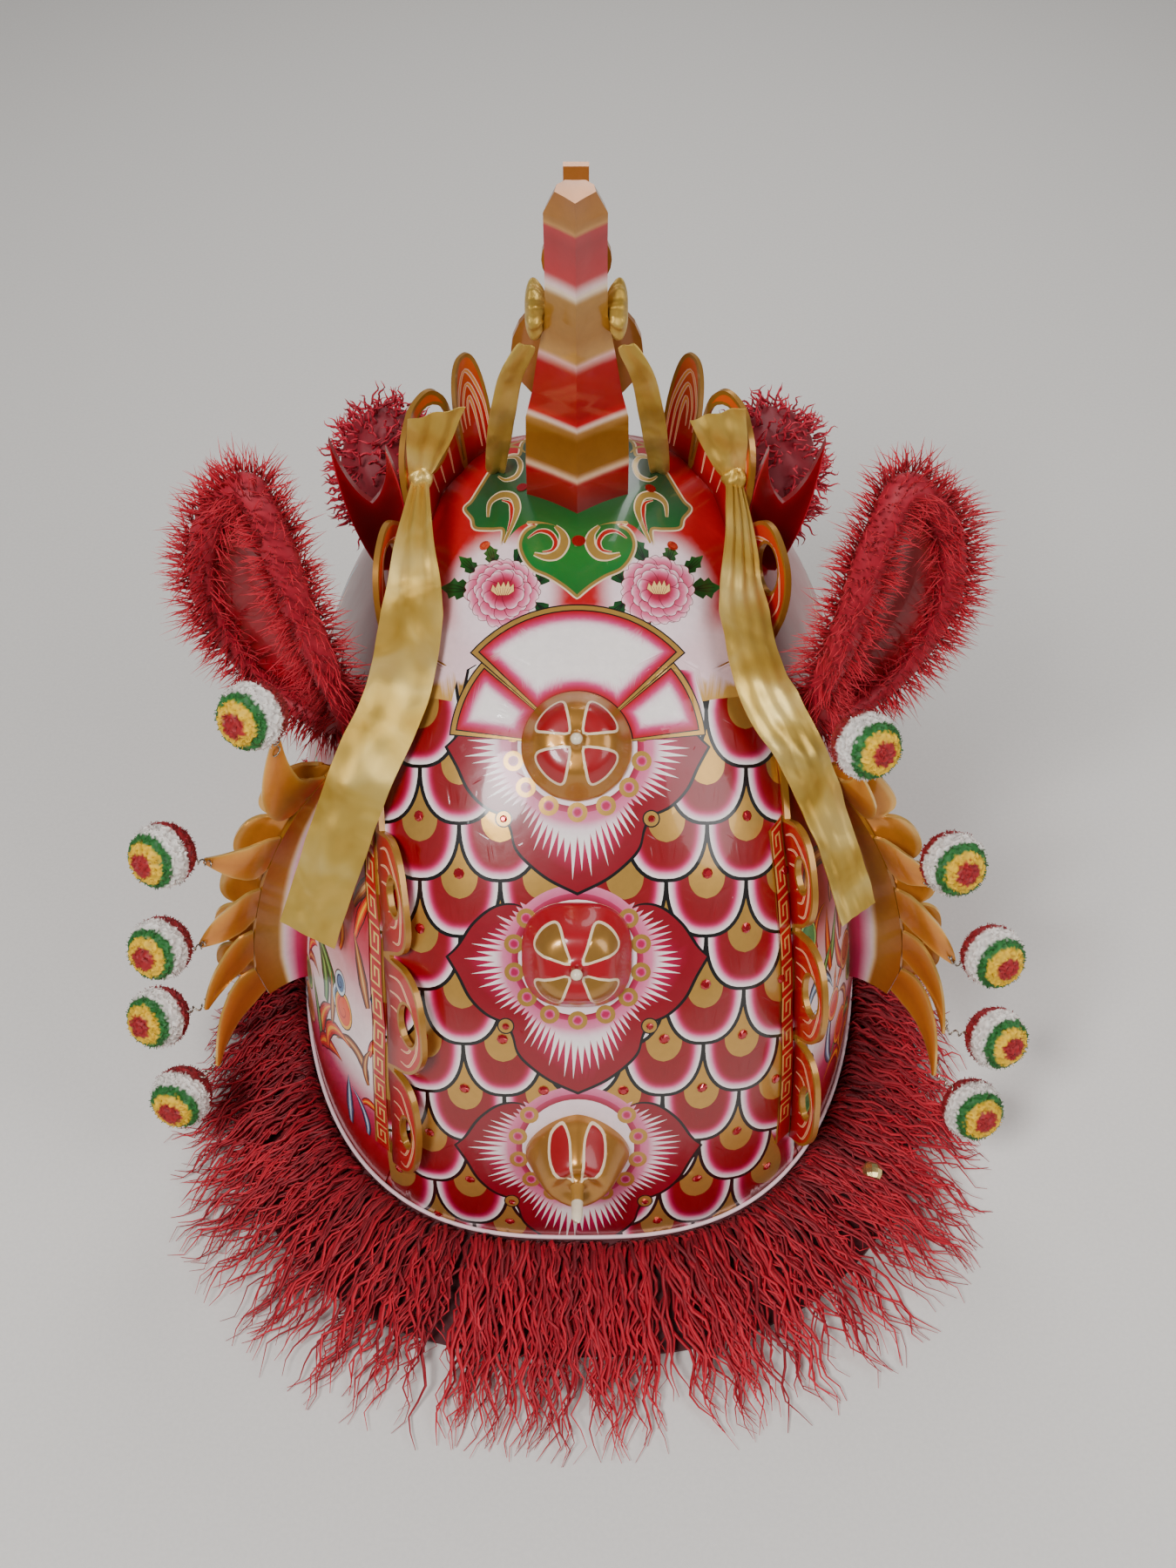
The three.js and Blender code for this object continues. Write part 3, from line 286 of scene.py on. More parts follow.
# A brush stroke along a line, its width given at each end and the middle
def stroke(points, widths, steps=6):
    line = smoothLine(points, steps=steps)
    along = np.gradient(line, axis=0)
    along /= np.linalg.norm(along, axis=1, keepdims=True) + 1e-9
    side = np.stack([-along[:, 1], along[:, 0]], -1)
    half = np.interp(np.linspace(0, 1, len(line)), np.linspace(0, 1, len(widths)), widths)[:, None] / 2
    return np.concatenate([line + side * half, (line - side * half)[::-1]])


def circle(centre, radius, count=18, squash=1.0):
    turn = np.linspace(0, 2 * math.pi, count, endpoint=False)
    return np.stack([centre[0] + radius * np.cos(turn), centre[1] + radius * squash * np.sin(turn)], -1)


def mirrored(outline):
    return np.asarray(outline, float)[::-1] * [-1, 1]


def ramp(stops, values):
    spots = [s for s, _ in stops]
    colours = np.array([linear(c) for _, c in stops])
    return np.stack([np.interp(values, spots, colours[:, k]) for k in range(3)], -1)


def edgeDistance(outline):
    a = np.asarray(outline, float)
    b = np.roll(a, -1, axis=0)

    def measure(places):
        flat = places.reshape(-1, 1, 2)
        along = b - a
        t = np.clip(((flat - a) * along).sum(-1) / ((along ** 2).sum(-1) + 1e-9), 0, 1)
        return np.linalg.norm(flat - (a + along * t[..., None]), axis=-1).min(1).reshape(places.shape[:-1])
    return measure


def insideOutline(places, outline):
    inside = np.zeros(len(places), bool)
    x, y = places[:, 0], places[:, 1]
    for (ax, ay), (bx, by) in zip(outline, np.roll(outline, -1, 0)):
        if ay == by:
            continue
        crosses = (ay > y) != (by > y)
        inside ^= crosses & (x < (bx - ax) * (y - ay) / (by - ay) + ax)
    return inside


def insideEdges(places, edges):
    inside = np.zeros(len(places), bool)
    x, y = places[:, 0], places[:, 1]
    for (ax, ay), (bx, by) in edges:
        if ay != by:
            inside ^= ((ay > y) != (by > y)) & (x < (bx - ax) * (y - ay) / (by - ay) + ax)
    return inside


# Painted motifs, laid one over another: each is an outline, a colour or a rule for it, and how gold it is
class Painting:
    def __init__(self, outline, ground, gold=0.0, step=6.0, under="#BE9148", underGold=1.0, bothFaces=False):
        self.motifs = [(np.asarray(outline, float), ground, gold)]
        self.dots = []
        self.step, self.under, self.underGold, self.bothFaces = step, under, underGold, bothFaces
        low, high = np.min(outline, 0), np.max(outline, 0)
        self.scatter(low, high, step)

    def scatter(self, low, high, step):
        xs = np.arange(low[0] + step / 2, high[0], step)
        ys = np.arange(low[1] + step / 2, high[1], step * 0.87)
        grid = [(x + (step / 2 if k % 2 else 0), y) for k, y in enumerate(ys) for x in xs]
        self.dots.extend(grid)

    def add(self, outline, colour, gold=0.0):
        self.motifs.append((np.asarray(outline, float), colour, gold))

    def pair(self, outline, colour, gold=0.0):
        self.add(outline, colour, gold)
        self.add(mirrored(outline), colour, gold)

    # The skin: outer and inner faces, walled round the edge; the inner face has the same triangles only when
    # both faces are painted
    def build(self, name, toSpace, material, lifts=(0.5, 0.1)):
        places, edges = [], []
        for outline, _, _ in self.motifs:
            first, count = len(places), len(outline)
            edges += [(first + i, first + (i + 1) % count) for i in range(count)]
            places.extend(outline.tolist())
        places.extend(self.dots)
        result = delaunay_2d_cdt([Vector(p) for p in places], edges, [], 0, 1e-4, False)
        spots = np.array([tuple(v) for v in result[0]])
        triangles = np.array([face for face in result[2]])
        middles = spots[triangles].mean(1)
        top = np.full(len(triangles), -1)
        for k, (outline, _, _) in enumerate(self.motifs):
            near = np.nonzero(((middles > outline.min(0)) & (middles < outline.max(0))).all(1))[0]
            if k:
                near = near[top[near] >= 0]
            top[near[insideOutline(middles[near], outline)]] = k
        cuts = [k for k, (_, colour, _) in enumerate(self.motifs) if colour is None]
        kept = (top >= 0) & ~np.isin(top, cuts)
        triangles, top = triangles[kept], top[kept]
        used = np.unique(triangles)
        renumber = np.zeros(len(spots), int)
        renumber[used] = np.arange(len(used))
        spots, triangles = spots[used], renumber[triangles]
        corners = spots[triangles]
        turned = np.cross(corners[:, 1] - corners[:, 0], corners[:, 2] - corners[:, 0]) < 0
        triangles[turned] = triangles[turned][:, ::-1]
        corners = spots[triangles]
        colours = np.zeros((len(triangles), 3, 3))
        shine = np.zeros((len(triangles), 3))
        for k, (_, colour, gold) in enumerate(self.motifs):
            mine = top == k
            if not mine.any() or colour is None:
                continue
            colours[mine] = colour(corners[mine]) if callable(colour) else linear(colour)
            shine[mine] = gold(corners[mine]) if callable(gold) else gold
        pairs = np.concatenate([triangles[:, [0, 1]], triangles[:, [1, 2]], triangles[:, [2, 0]]])
        keys = {(a, b) for a, b in pairs.tolist()}
        edge = np.array([(a, b) for a, b in keys if (b, a) not in keys])
        if self.bothFaces:
            backSpots, backFaces, placeOf = spots, triangles[:, ::-1], edge
        else:  # the inner face has the same edge and far fewer points
            rim, placeOf = np.unique(edge, return_inverse=True)
            placeOf = placeOf.reshape(-1, 2)
            low, high, gap = spots.min(0), spots.max(0), self.step * 2.2
            grid = np.stack(np.meshgrid(np.arange(low[0] + gap / 2, high[0], gap),
                                        np.arange(low[1] + gap / 2, high[1], gap)),
                            -1).reshape(-1, 2)
            loops = spots[rim][placeOf]
            grid = grid[insideEdges(grid, loops)]
            back = delaunay_2d_cdt([Vector(p) for p in np.concatenate([spots[rim], grid])], placeOf.tolist(),
                                   [], 0, 1e-6, False)
            backSpots = np.array([tuple(v) for v in back[0]])
            backFaces = np.array(back[2])
            backFaces = backFaces[insideEdges(backSpots[backFaces].mean(1), loops)]
            spun = backSpots[backFaces]
            up = np.cross(spun[:, 1] - spun[:, 0], spun[:, 2] - spun[:, 0]) > 0
            backFaces[up] = backFaces[up][:, ::-1]
        count = len(spots)
        walls = np.array([f for (a, b), (c, d) in zip(edge.tolist(), (placeOf + count).tolist())
                          for f in ((b, a, c), (b, c, d))])
        faces = np.concatenate([triangles, backFaces + count, walls])
        outer, inner = toSpace(spots, lifts[0] * mm), toSpace(backSpots, lifts[1] * mm)
        piece = makePiece(name, np.concatenate([outer, inner]), faces, material)
        backColours = np.tile(linear(self.under), (len(backFaces), 3, 1))
        backShine = np.full((len(backFaces), 3), self.underGold)
        if self.bothFaces:
            backColours, backShine = colours[:, ::-1], shine[:, ::-1]
        allColours = np.concatenate([colours, backColours,
                                     np.tile(linear(self.under), (len(walls), 3, 1))]).reshape(-1, 3)
        allShine = np.concatenate([shine, backShine, np.full((len(walls), 3), self.underGold)]).reshape(-1)
        paintCorners(piece.data, allColours, allShine)
        print(name, len(faces), "triangles")
        return piece


paints = {
    "crimson": "#98082A", "red": "#B80A18", "magenta": "#BE1F62", "pink": "#E08BA8",
    "pale": "#F3DFE2", "white": "#F6EEEA", "gold": "#CDA55C", "cream": "#E9D3B4",
    "black": "#120B0B",
}

# Back panel: scales, three lotus flowers, the fan, cloud scroll, peonies
panel = {
    "axis": 4.5, "columnPitch": 57.5, "rowPitch": 39.7, "firstRow": 57.0, "rows": 11,
    "stoneDown": 34.6,  # rhinestone below a scale's top notch
    "bosses": [26.0, -121.5, -270.0],
    "ringRadius": 45.5, "ringCircle": 7.0, "ringPink": 3.7, "ringCount": 14,
    "scaleFace": 0.95, "scaleLine": 1.04,  # the scale and its black line, shares of its full width
    "scaleReach": 165.0, "stoneRadius": 4.0,
    "fanReach": 97.0, "fanSideReach": 86.0, "fanHalf": 48.0, "fanSideEnd": 84.0,
}

# The line the crest boards stand on, brow to nape: share, degrees up, degrees round left and right, lean
boardLine = np.array([
    (0.00, 73.5, 132, 132, -8, 8),
    (0.12, 70, 100, 100, -8, 8),
    (0.22, 62, 80, 80, -14, 14),
    (0.34, 54, 67, 67, -5, 16),
    (0.46, 48, 52, 53, 10, 18),
    (0.56, 41, 42, 46, 28, 20),
    (0.68, 32, 33.5, 42, 36, 21),
    (0.80, 22.5, 29.5, 38.8, 37, 21),
    (0.92, 12, 28.5, 37.2, 35, 20),
    (1.00, 5, 28.5, 36.8, 33, 20),
])


def boardRow(share, column):
    return np.interp(share, boardLine[:, 0], boardLine[:, column])


def panelOutline(grow):
    shares = np.linspace(1, 0, 41)
    left = domePoint(-(boardRow(shares, 2) + grow), boardRow(shares, 1))
    right = domePoint(boardRow(shares, 3) + grow, boardRow(shares, 1))
    azRim = np.linspace(boardRow(1.0, 3) + grow, -(boardRow(1.0, 2) + grow), 40)
    rim = domePoint(azRim, np.zeros(40))
    front = domePoint(np.linspace(-132 - grow, -228 + grow, 14), np.full(14, 73.5))
    return headToPanel(np.concatenate([left, front, right[::-1], rim]))


def scaleOutline(x, top, grow):
    half = panel["columnPitch"] / 2
    length = 2 * panel["rowPitch"]
    middle = top - length / 2
    turn = np.linspace(0, math.pi, 23)
    bottomX = x + half * signedPower(np.cos(turn), 0.83) * grow
    bottomT = middle - (length / 2) * signedPower(np.sin(turn), 0.92) * (1 - (1 - grow) * 0.72)
    side = [(x - half * grow, middle), (x - half * grow * 0.82, top - length * 0.14), (x, top + 2)]
    other = [(x + half * grow * 0.82, top - length * 0.14)]
    return np.concatenate([np.stack([bottomX, bottomT], -1), side, other])


# Airbrushed from the white rim inward, millimetres from the scale's outline
scaleBands = [(0.0, paints["white"]), (1.6, paints["pale"]), (3.8, "#E79BB6"), (5.6, "#CC3A74"),
              (7.4, "#A80E40"),
              (10.0, "#9A0A1E"), (16.0, "#96081A")]
scaleInsets = (1.3, 2.6, 4.0, 5.4, 6.8, 8.2, 9.8)

stones = []  # across, up and radius of each one; a radius below zero is a foil sequin


def paintScales(art):
    pitch, row = panel["columnPitch"], panel["rowPitch"]
    for k in reversed(range(panel["rows"])):
        stoneAt = panel["firstRow"] - k * row
        top = stoneAt + panel["stoneDown"]
        shift = 0 if k % 2 == 0 else 0.5
        for n in range(-3, 3 + (k % 2 == 0)):
            x = panel["axis"] + (n + shift) * pitch
            if abs(x) > panel["scaleReach"]:
                continue
            outline = scaleOutline(x, top, panel["scaleFace"])
            away = edgeDistance(outline)
            rule = lambda p, away=away: ramp(scaleBands, away(p))
            art.add(scaleOutline(x, top, panel["scaleLine"]), paints["black"])
            art.add(outline, rule)
            for inset in scaleInsets:
                art.add(insetOutline(outline, inset), rule)
            drop = [(0, 0), (5, -12), (10, -22), (13, -33), (12, -43), (7, -50), (0, -52.5)]
            tear = smoothLine(drop, steps=4)
            tear = np.concatenate([tear, (tear * [-1, 1])[::-1][1:-1]]) + [x, top]
            art.add(tear, paints["gold"], 1.0)
            covered = any(insideOutline(np.array([[x, stoneAt]]), flowerOutline(np.array([0.5, t]), 4.0))[0]
                          for t in panel["bosses"])
            if not covered and math.hypot(x, stoneAt - panel["bosses"][0]) > panel["fanReach"] + 6:
                stones.append((x, stoneAt, panel["stoneRadius"]))


# Petals round a boss, as one closed line of smooth stretches between sharp tips and notches
petalSide = [(30, 31), (43, 38), (58, 36), (73, 24), (84, 8), (92, 0), (84, -14), (76, -30), (64, -42),
             (50, -48)]
petalDrop = [(50, -48), (46, -58), (43, -70), (35, -80), (20, -92), (0, -102)]


def flowerOutline(centre, grow):
    right = np.concatenate([smoothLine(petalSide[:6])[:-1], smoothLine(petalSide[5:])[:-1],
                            smoothLine(petalDrop)])
    outline = np.concatenate([right, (right * [-1, 1])[::-1][1:]])
    length = np.linalg.norm(outline, axis=1, keepdims=True)
    return outline * (1 + grow / length) + centre


def needles(centre, count, rng):
    outline = flowerOutline((0, 0), 0)
    turns = np.arctan2(outline[:, 1], outline[:, 0])
    radii = np.linalg.norm(outline, axis=1)
    order = np.argsort(turns)
    angles = np.linspace(math.radians(-227), math.radians(47), 2 * count + 1)
    places = []
    for k, turn in enumerate(angles):
        wrapped = (turn + math.pi) % (2 * math.pi) - math.pi
        reach = np.interp(wrapped, turns[order], radii[order], period=2 * math.pi)
        share = rng.uniform(0.8, 0.93) if k % 2 else rng.uniform(0.60, 0.66)
        radius = max(51 if k % 2 == 0 else 56, reach * share)
        places.append((radius * math.cos(turn), radius * math.sin(turn)))
    return np.array(places) + centre


def paintFlower(art, t, lower, rng):
    centre = np.array([0.5, t])
    art.add(flowerOutline(centre, 1.2), paints["black"])
    crimsonFade = [(0, paints["crimson"]), (10, paints["crimson"]), (24, paints["magenta"]), (40, "#B5174E")]
    rim = edgeDistance(flowerOutline(centre, -1.1))
    art.add(flowerOutline(centre, -1.1), lambda p: ramp(crimsonFade, rim(p)))
    heart = lambda p: ramp([(0, paints["magenta"]), (44, "#D2668E"), (52, paints["pink"]),
                            (58, paints["pale"]), (64, paints["white"])], np.linalg.norm(p - centre, axis=-1))
    art.add(needles(centre, 66, rng), heart)
    art.add(circle(centre, 52, 60), heart)
    art.add(circle(centre, 46, 48), lambda p: ramp([(40, paints["crimson"]), (46, "#C2406E")],
                                                   np.linalg.norm(p - centre, axis=-1)))
    art.add(circle(centre, 41.5, 48), paints["pale"])
    turns = np.linspace(-90, 270, panel["ringCount"], endpoint=False)
    for turn in turns:
        up = math.sin(math.radians(turn))
        if lower and up > 0.25 or up > 0.9:
            continue
        spot = centre + panel["ringRadius"] * np.array([math.cos(math.radians(turn)), up])
        art.add(circle(spot, panel["ringCircle"], 16), paints["gold"], 1.0)
        pinkHeart = lambda p, s=spot: ramp([(0, paints["magenta"]), (2.4, paints["magenta"]),
                                            (3.7, "#DE86A6")],
                                           np.linalg.norm(p - s, axis=-1))
        art.add(circle(spot, panel["ringPink"], 12), pinkHeart)
        art.add(circle(spot, panel["ringPink"] * 0.5, 8), pinkHeart)
    for side in (-1, 1):
        spot = centre + [side * 51, -50]
        art.add(circle(spot, 6.2, 18), paints["black"])
        art.add(circle(spot, 5.2, 18), paints["gold"], 1.0)
        stones.append((spot[0], spot[1], 2.6))


def fanSegment(centre, start, end, inner, outer):
    turns = np.radians(90 - np.linspace(start, end, 24))
    ring = np.stack([np.cos(turns), np.sin(turns)], -1)
    return np.concatenate([ring * outer, ring[::-1] * inner]) + centre


def insetOutline(outline, amount):
    middle = outline.mean(0)
    ahead, behind = np.roll(outline, -1, 0), np.roll(outline, 1, 0)
    along = ahead - behind
    along /= np.linalg.norm(along, axis=1, keepdims=True) + 1e-9
    normal = np.stack([along[:, 1], -along[:, 0]], -1)
    normal *= np.sign(((middle - outline) * normal).sum(1, keepdims=True))
    return outline + normal * amount


def paintFan(art):
    centre = np.array([0.5, panel["bosses"][0]])
    half, end = panel["fanHalf"], panel["fanSideEnd"]
    for start, stop, reach in ((-end, -half, panel["fanSideReach"]), (half, end, panel["fanSideReach"]),
                               (-half, half, panel["fanReach"])):
        art.add(fanSegment(centre, start - 0.9, stop + 0.9, 37, reach + 4.2), paints["black"])
        art.add(fanSegment(centre, start - 0.3, stop + 0.3, 37, reach + 3.2), paints["gold"], 1.0)
        art.add(fanSegment(centre, start + 1.6, stop - 1.6, 38, reach), paints["black"])
        field = fanSegment(centre, start + 2.2, stop - 2.2, 39, reach - 0.9)
        away = edgeDistance(field)
        bands = [(0, paints["red"]), (2.2, "#C0214F"), (5.5, "#D4578A"), (9, paints["pale"]),
                 (13, paints["white"])]
        art.add(field, lambda p, a=away, b=bands: ramp(b, a(p)))
        low, high = field.min(0), field.max(0)
        art.scatter(low, high, 2.6)


# The green cloud scroll round the foot of the horn, its right half; the left is its mirror
scroll = {
    "lobe": [(0, 133), (9, 141), (20, 148.5), (31, 154), (38, 163), (41, 174), (37, 184), (27, 188.5),
             (16, 187)],
    "arm": [(16, 187), (26, 190), (38, 190.5), (47, 184), (54, 174)],
    "wing": [(54, 174), (54, 186), (63, 187), (75, 189), (78, 197), (84, 206), (79, 212), (72, 225),
             (64, 239),
             (52, 249), (44, 250), (42, 262), (34, 270)],
    "lowCurl": [(16, 187.5), (10.5, 181), (9.5, 173), (14, 165.5), (22, 163), (31, 165.5)],
    "lowComma": [(36, 178), (28, 183.5), (20, 182), (15.5, 175), (18, 168.5), (25, 167)],
    "midCurl": [(53, 175), (47.5, 190), (44.5, 203), (48, 213), (57, 215), (65, 209), (66, 197)],
    "midComma": [(51, 184), (48.5, 196), (49.5, 207), (56, 210.5)],
    "topCurl": [(60, 232), (54, 228), (46, 231), (43, 240), (47, 248), (56, 248)],
    "topSpike": [(40, 252), (46, 258), (55, 260), (48, 263), (40, 266)],
}


def paintScroll(art):
    lobe = smoothLine(scroll["lobe"])
    arm = smoothLine(scroll["arm"])
    wing = smoothLine(scroll["wing"])
    half = np.concatenate([lobe[:-1], arm[:-1], wing])
    body = np.concatenate([half, mirrored(half)[:-1]])
    art.add(insetOutline(body, -2.4), paints["cream"])
    art.add(insetOutline(body, -1.2), "#B79A5A", 0.8)
    greenFade = lambda p: ramp([(130, "#0F7434"), (165, "#17853A"), (195, "#0D6A2E"), (225, "#3C5F3E"),
                                (268, "#4C5E44")],
                               p[..., 1])
    art.add(insetOutline(body, 1.0), greenFade)
    for key, widths, colour, gold in (
            ("lowCurl", (2.5, 8.5, 8.5, 3), paints["cream"], 0), ("lowCurl", (2, 6, 6, 1.6), "#BFA15C", 0.8),
            ("lowComma", (1, 4.5, 4, 1.2), paints["cream"], 0), ("lowComma", (0.6, 3.0, 2.6, 0.6),
                                                                 paints["red"], 0),
            ("midCurl", (2, 6.5, 7, 2), paints["cream"], 0), ("midCurl", (1.4, 4.6, 5, 1.4), "#BFA15C", 0.8),
            ("midComma", (0.8, 4, 1.5), paints["cream"], 0), ("midComma", (0.6, 2.6, 0.8), paints["red"], 0),
            ("topCurl", (1.4, 4.5, 4.5, 1.6), paints["cream"], 0), ("topCurl", (1, 3.0, 3.0, 1), "#BFA15C",
                                                                    0.8),
            ("topSpike", (1, 3, 1), "#BFA15C", 0.8)):
        art.pair(stroke(scroll[key], widths), colour, gold)


def petalRing(art, centre, inner, outer, count, start, rng, depth):
    for k in range(count):
        turn = math.radians(start + 360 * k / count + rng.uniform(-7, 7))
        wide = 2 * math.pi * outer / count * rng.uniform(0.62, 0.75)
        reach = outer * rng.uniform(0.93, 1.06)
        along = np.array([math.cos(turn), math.sin(turn)])
        side = np.array([-along[1], along[0]])
        shape = [(inner * 0.5, -0.18), (inner, -0.62), (lerp(inner, reach, 0.6), -1), (reach * 0.94, -0.72),
                 (reach, -0.3), (reach * 0.95, 0.0), (reach * 1.01, 0.32), (reach * 0.93, 0.75),
                 (lerp(inner, reach, 0.6), 1), (inner, 0.62), (inner * 0.5, 0.18)]
        outline = smoothLine([centre + along * r + side * w * wide for r, w in shape], closed=True, steps=3)
        art.add(outline, "#7E1030")
        inside = insetOutline(outline, 0.42)
        fade = lambda p, a=inner * 0.6, b=reach: ramp(
            [(0, "#9E0E34"), (0.45, depth), (0.78, "#E07A9A"), (0.93, "#F3B9C8"), (1, "#FBEDEE")],
            (np.linalg.norm(p - centre, axis=-1) - a) / (b - a))
        art.add(inside, fade)
        vein = [centre + along * lerp(inner, reach, 0.25), centre + along * lerp(inner, reach, 0.62)]
        art.add(stroke(vein, (0.5, 0.2), steps=2), "#B02A50")


def lerp(a, b, t):
    return a + (b - a) * t


def leafShape(art, root, tip, width):
    root, tip = np.array(root, float), np.array(tip, float)
    along = tip - root
    side = np.array([-along[1], along[0]]) / np.linalg.norm(along) * width
    shape = [(0, 0), (0.22, 0.6), (0.42, 0.95), (0.5, 0.62), (0.66, 0.9), (0.74, 0.45), (1, 0), (0.72, -0.5),
             (0.62, -0.95), (0.48, -0.6), (0.36, -0.9), (0.16, -0.5)]
    outline = np.array([root + along * a + side * b for a, b in shape])
    fade = lambda p: ramp([(0, "#0C3A1E"), (0.5, "#17602C"), (1, "#1E7A34")],
                          ((p - root) @ along) / (along @ along))
    art.add(outline, fade)
    for b in (-0.5, 0, 0.5):
        vein = [root + along * 0.12, root + along * 0.55 + side * b * 0.6,
                root + along * 0.8 + side * b * 0.55]
        art.add(stroke(vein, (0.9, 0.6, 0.2), steps=2), "#0A1F12")


def paintPeony(art, centre, side, rng):
    centre = np.array(centre, float)
    leaves = [((-8, 20), (-20, 42), 7), ((6, 20), (12, 38), 6), ((22, 2), (47, 6), 9),
              ((-6, -20), (-26, -44), 9), ((-24, 4), (-36, 22), 7), ((-23, -8), (-38, -22), 6),
              ((18, 14), (34, 30), 6)]
    for root, tip, width in leaves:
        flip = np.array([side, 1])
        leafShape(art, centre + np.array(root) * flip, centre + np.array(tip) * flip, width)
    petalRing(art, centre, 9, 27, 13, 8, rng, "#C93560")
    petalRing(art, centre, 7, 21, 10, 22, rng, "#C02C58")
    petalRing(art, centre + [0, 1.5], 4, 15.5, 8, 5, rng, "#B8204C")
    heart = [centre + np.array(p) for p in ((-9, 1), (-7.5, 6), (-5.5, 3), (-3.5, 8), (-1.5, 4), (0.5, 8),
                                            (2, 4), (4, 8.5),
                                            (5.5, 3.5), (8, 6), (8.5, 0), (4, -3), (-4, -3))]
    art.add(heart, "#9A2440")
    art.add(insetOutline(np.array(heart), 0.5), "#F0D08A")
    for k in range(-3, 4):
        line = [centre + np.array([k * 0.9, -3.5]), centre + np.array([k * 2.0, 3])]
        art.add(stroke(line, (0.5, 0.25), steps=2), "#A03048")


def groundColour(places):
    x, t = places[..., 0], places[..., 1]
    gold, red, white = (np.array(linear(c)) for c in (paints["gold"], "#BE0F22", paints["pale"]))
    colours = np.where((t < 70)[..., None], gold, red)
    for px, pt in ((-53, 137), (58, 138)):
        away = np.hypot(x - px, (t - pt) * 0.9)
        share = np.clip((46 - away) / 14, 0, 1)[..., None] * (t > 60)[..., None]
        colours = colours * (1 - share) + white * share
    low = np.clip((128 - t) / 20, 0, 1) * (t > 70)
    colours = colours * (1 - 0.85 * low[..., None]) + white * 0.85 * low[..., None]
    return colours


def groundGold(places):
    return np.where(places[..., 1] < 70, 1.0, 0.0)


def paintPanel():
    rng = random.Random(7)
    outline = panelOutline(2.0)
    art = Painting(outline, groundColour, groundGold, step=5.5)
    art.add(outline, groundColour, groundGold)
    paintScales(art)
    crown = [(-175, 70), (-98, 60), (-88, 58), (-82, 84), (82, 80), (88, 58), (98, 60), (175, 70), (175, 300),
             (-175, 300)]
    art.add(crown, groundColour, 0.0)
    art.scatter((-110, 74), (110, 180), 5.0)
    for centre, side in (((-53, 137), -1), ((58.5, 138), 1)):
        paintPeony(art, centre, side, rng)
    paintScroll(art)
    for x, t, radius in ((-41, 220, 4.2), (54, 220, 4.2), (1, 175, 5.0), (-67, 173, 4.2), (69, 173, 4.2)):
        stones.append((x, t, -radius))
    for t, lower in reversed(list(zip(panel["bosses"], (True, False, False)))):
        paintFlower(art, t, lower, rng)
    paintFan(art)
    art.build("paintedBack", panelPoint, paintMaterial, (0.55, 0.1))


paintPanel()


widestAt = 235.0  # the widest line, in the millimetres of place()


# Head places in millimetres, across, back to front and up from the rim, as metres in the shared frame
def place(x, y, z):
    x, y, z = np.broadcast_arrays(np.asarray(x, float), y, z)
    return np.stack([centreX + x * mm, widestY + (y - widestAt) * mm, head["rim"] + z * mm], -1)


def unit(vectors):
    return vectors / (np.linalg.norm(vectors, axis=-1, keepdims=True) + 1e-12)


def makeGrid(name, outer, inner, colours, gold, material, wrap=False):
    rows, columns = outer.shape[:2]
    points = np.concatenate([outer.reshape(-1, 3), inner.reshape(-1, 3)])
    piece = makePiece(name, points, wallFaces(rows, columns, wrap), material)
    paintPoints(piece.data, np.tile(np.asarray(colours).reshape(-1, 3), (2, 1)),
                np.tile(np.asarray(gold).reshape(-1), 2))
    return piece


# The three cones on the spine, drawn on a flat disc and set on their profile
bosses = {
    "boss_upper": {"rise": 57.2, "tall": 0.88, "power": 2.0, "nib": 0.8, "slot": "boss_gold"},
    "boss_middle": {"rise": 36.0, "tall": 1.0, "power": 2.7, "nib": 0.8, "slot": "boss_red"},
    "boss_lower": {"rise": 12.9, "tall": 1.66, "power": 1.6, "nib": 0.52, "slot": "boss_gold"},
}
bossSize = {"radius": 38.5, "height": 41.0, "spike": 4.5}


def bossPoint(boss):
    nib, spike = boss["nib"], bossSize["spike"] / bossSize["radius"]
    profile = np.array([(0, 1.0), (spike * 0.5, 1.0), (spike * 0.9, 0.93), (spike, nib), (0.22, nib * 0.88),
                        (0.6, lerp(0.3, 0.7, nib)), (0.93, 0.16), (1, 0.02), (1, -0.3)])
    profile = np.concatenate([profile[:4], smoothLine(profile[3:], steps=6)[1:]])
    spans = np.linalg.norm(np.diff(profile, axis=0) * [bossSize["radius"], bossSize["height"] * boss["tall"]],
                           axis=1)
    spans[3:] *= 0.88 / spans[3:].sum()
    spans[:3] *= 0.12 / spans[:3].sum()
    far = np.concatenate([[0], np.cumsum(spans)])
    foot = domePoint(0, boss["rise"])
    normal = domeNormal(0, boss["rise"])
    upward = unit(np.cross(normal, [1.0, 0, 0]))

    def toSpace(spots, lift):
        reach = np.linalg.norm(spots, axis=1)
        turn = np.arctan2(spots[:, 1], spots[:, 0])
        out = np.interp(reach, far, profile[:, 0])
        up = np.interp(reach, far, profile[:, 1]) * bossSize["height"] * boss["tall"] * mm + lift
        power = np.where(out <= 0.2, 2.0, lerp(2.0, boss["power"], np.clip((out - 0.2) / 0.2, 0, 1)))
        across = (bossSize["radius"] * mm * out + lift)[:, None] * np.stack(
            [signedPower(np.cos(turn), 2 / power), signedPower(np.sin(turn), 2 / power)], -1)
        return foot + across[:, :1] * [1.0, 0, 0] + across[:, 1:] * upward + up[:, None] * normal
    return toSpace


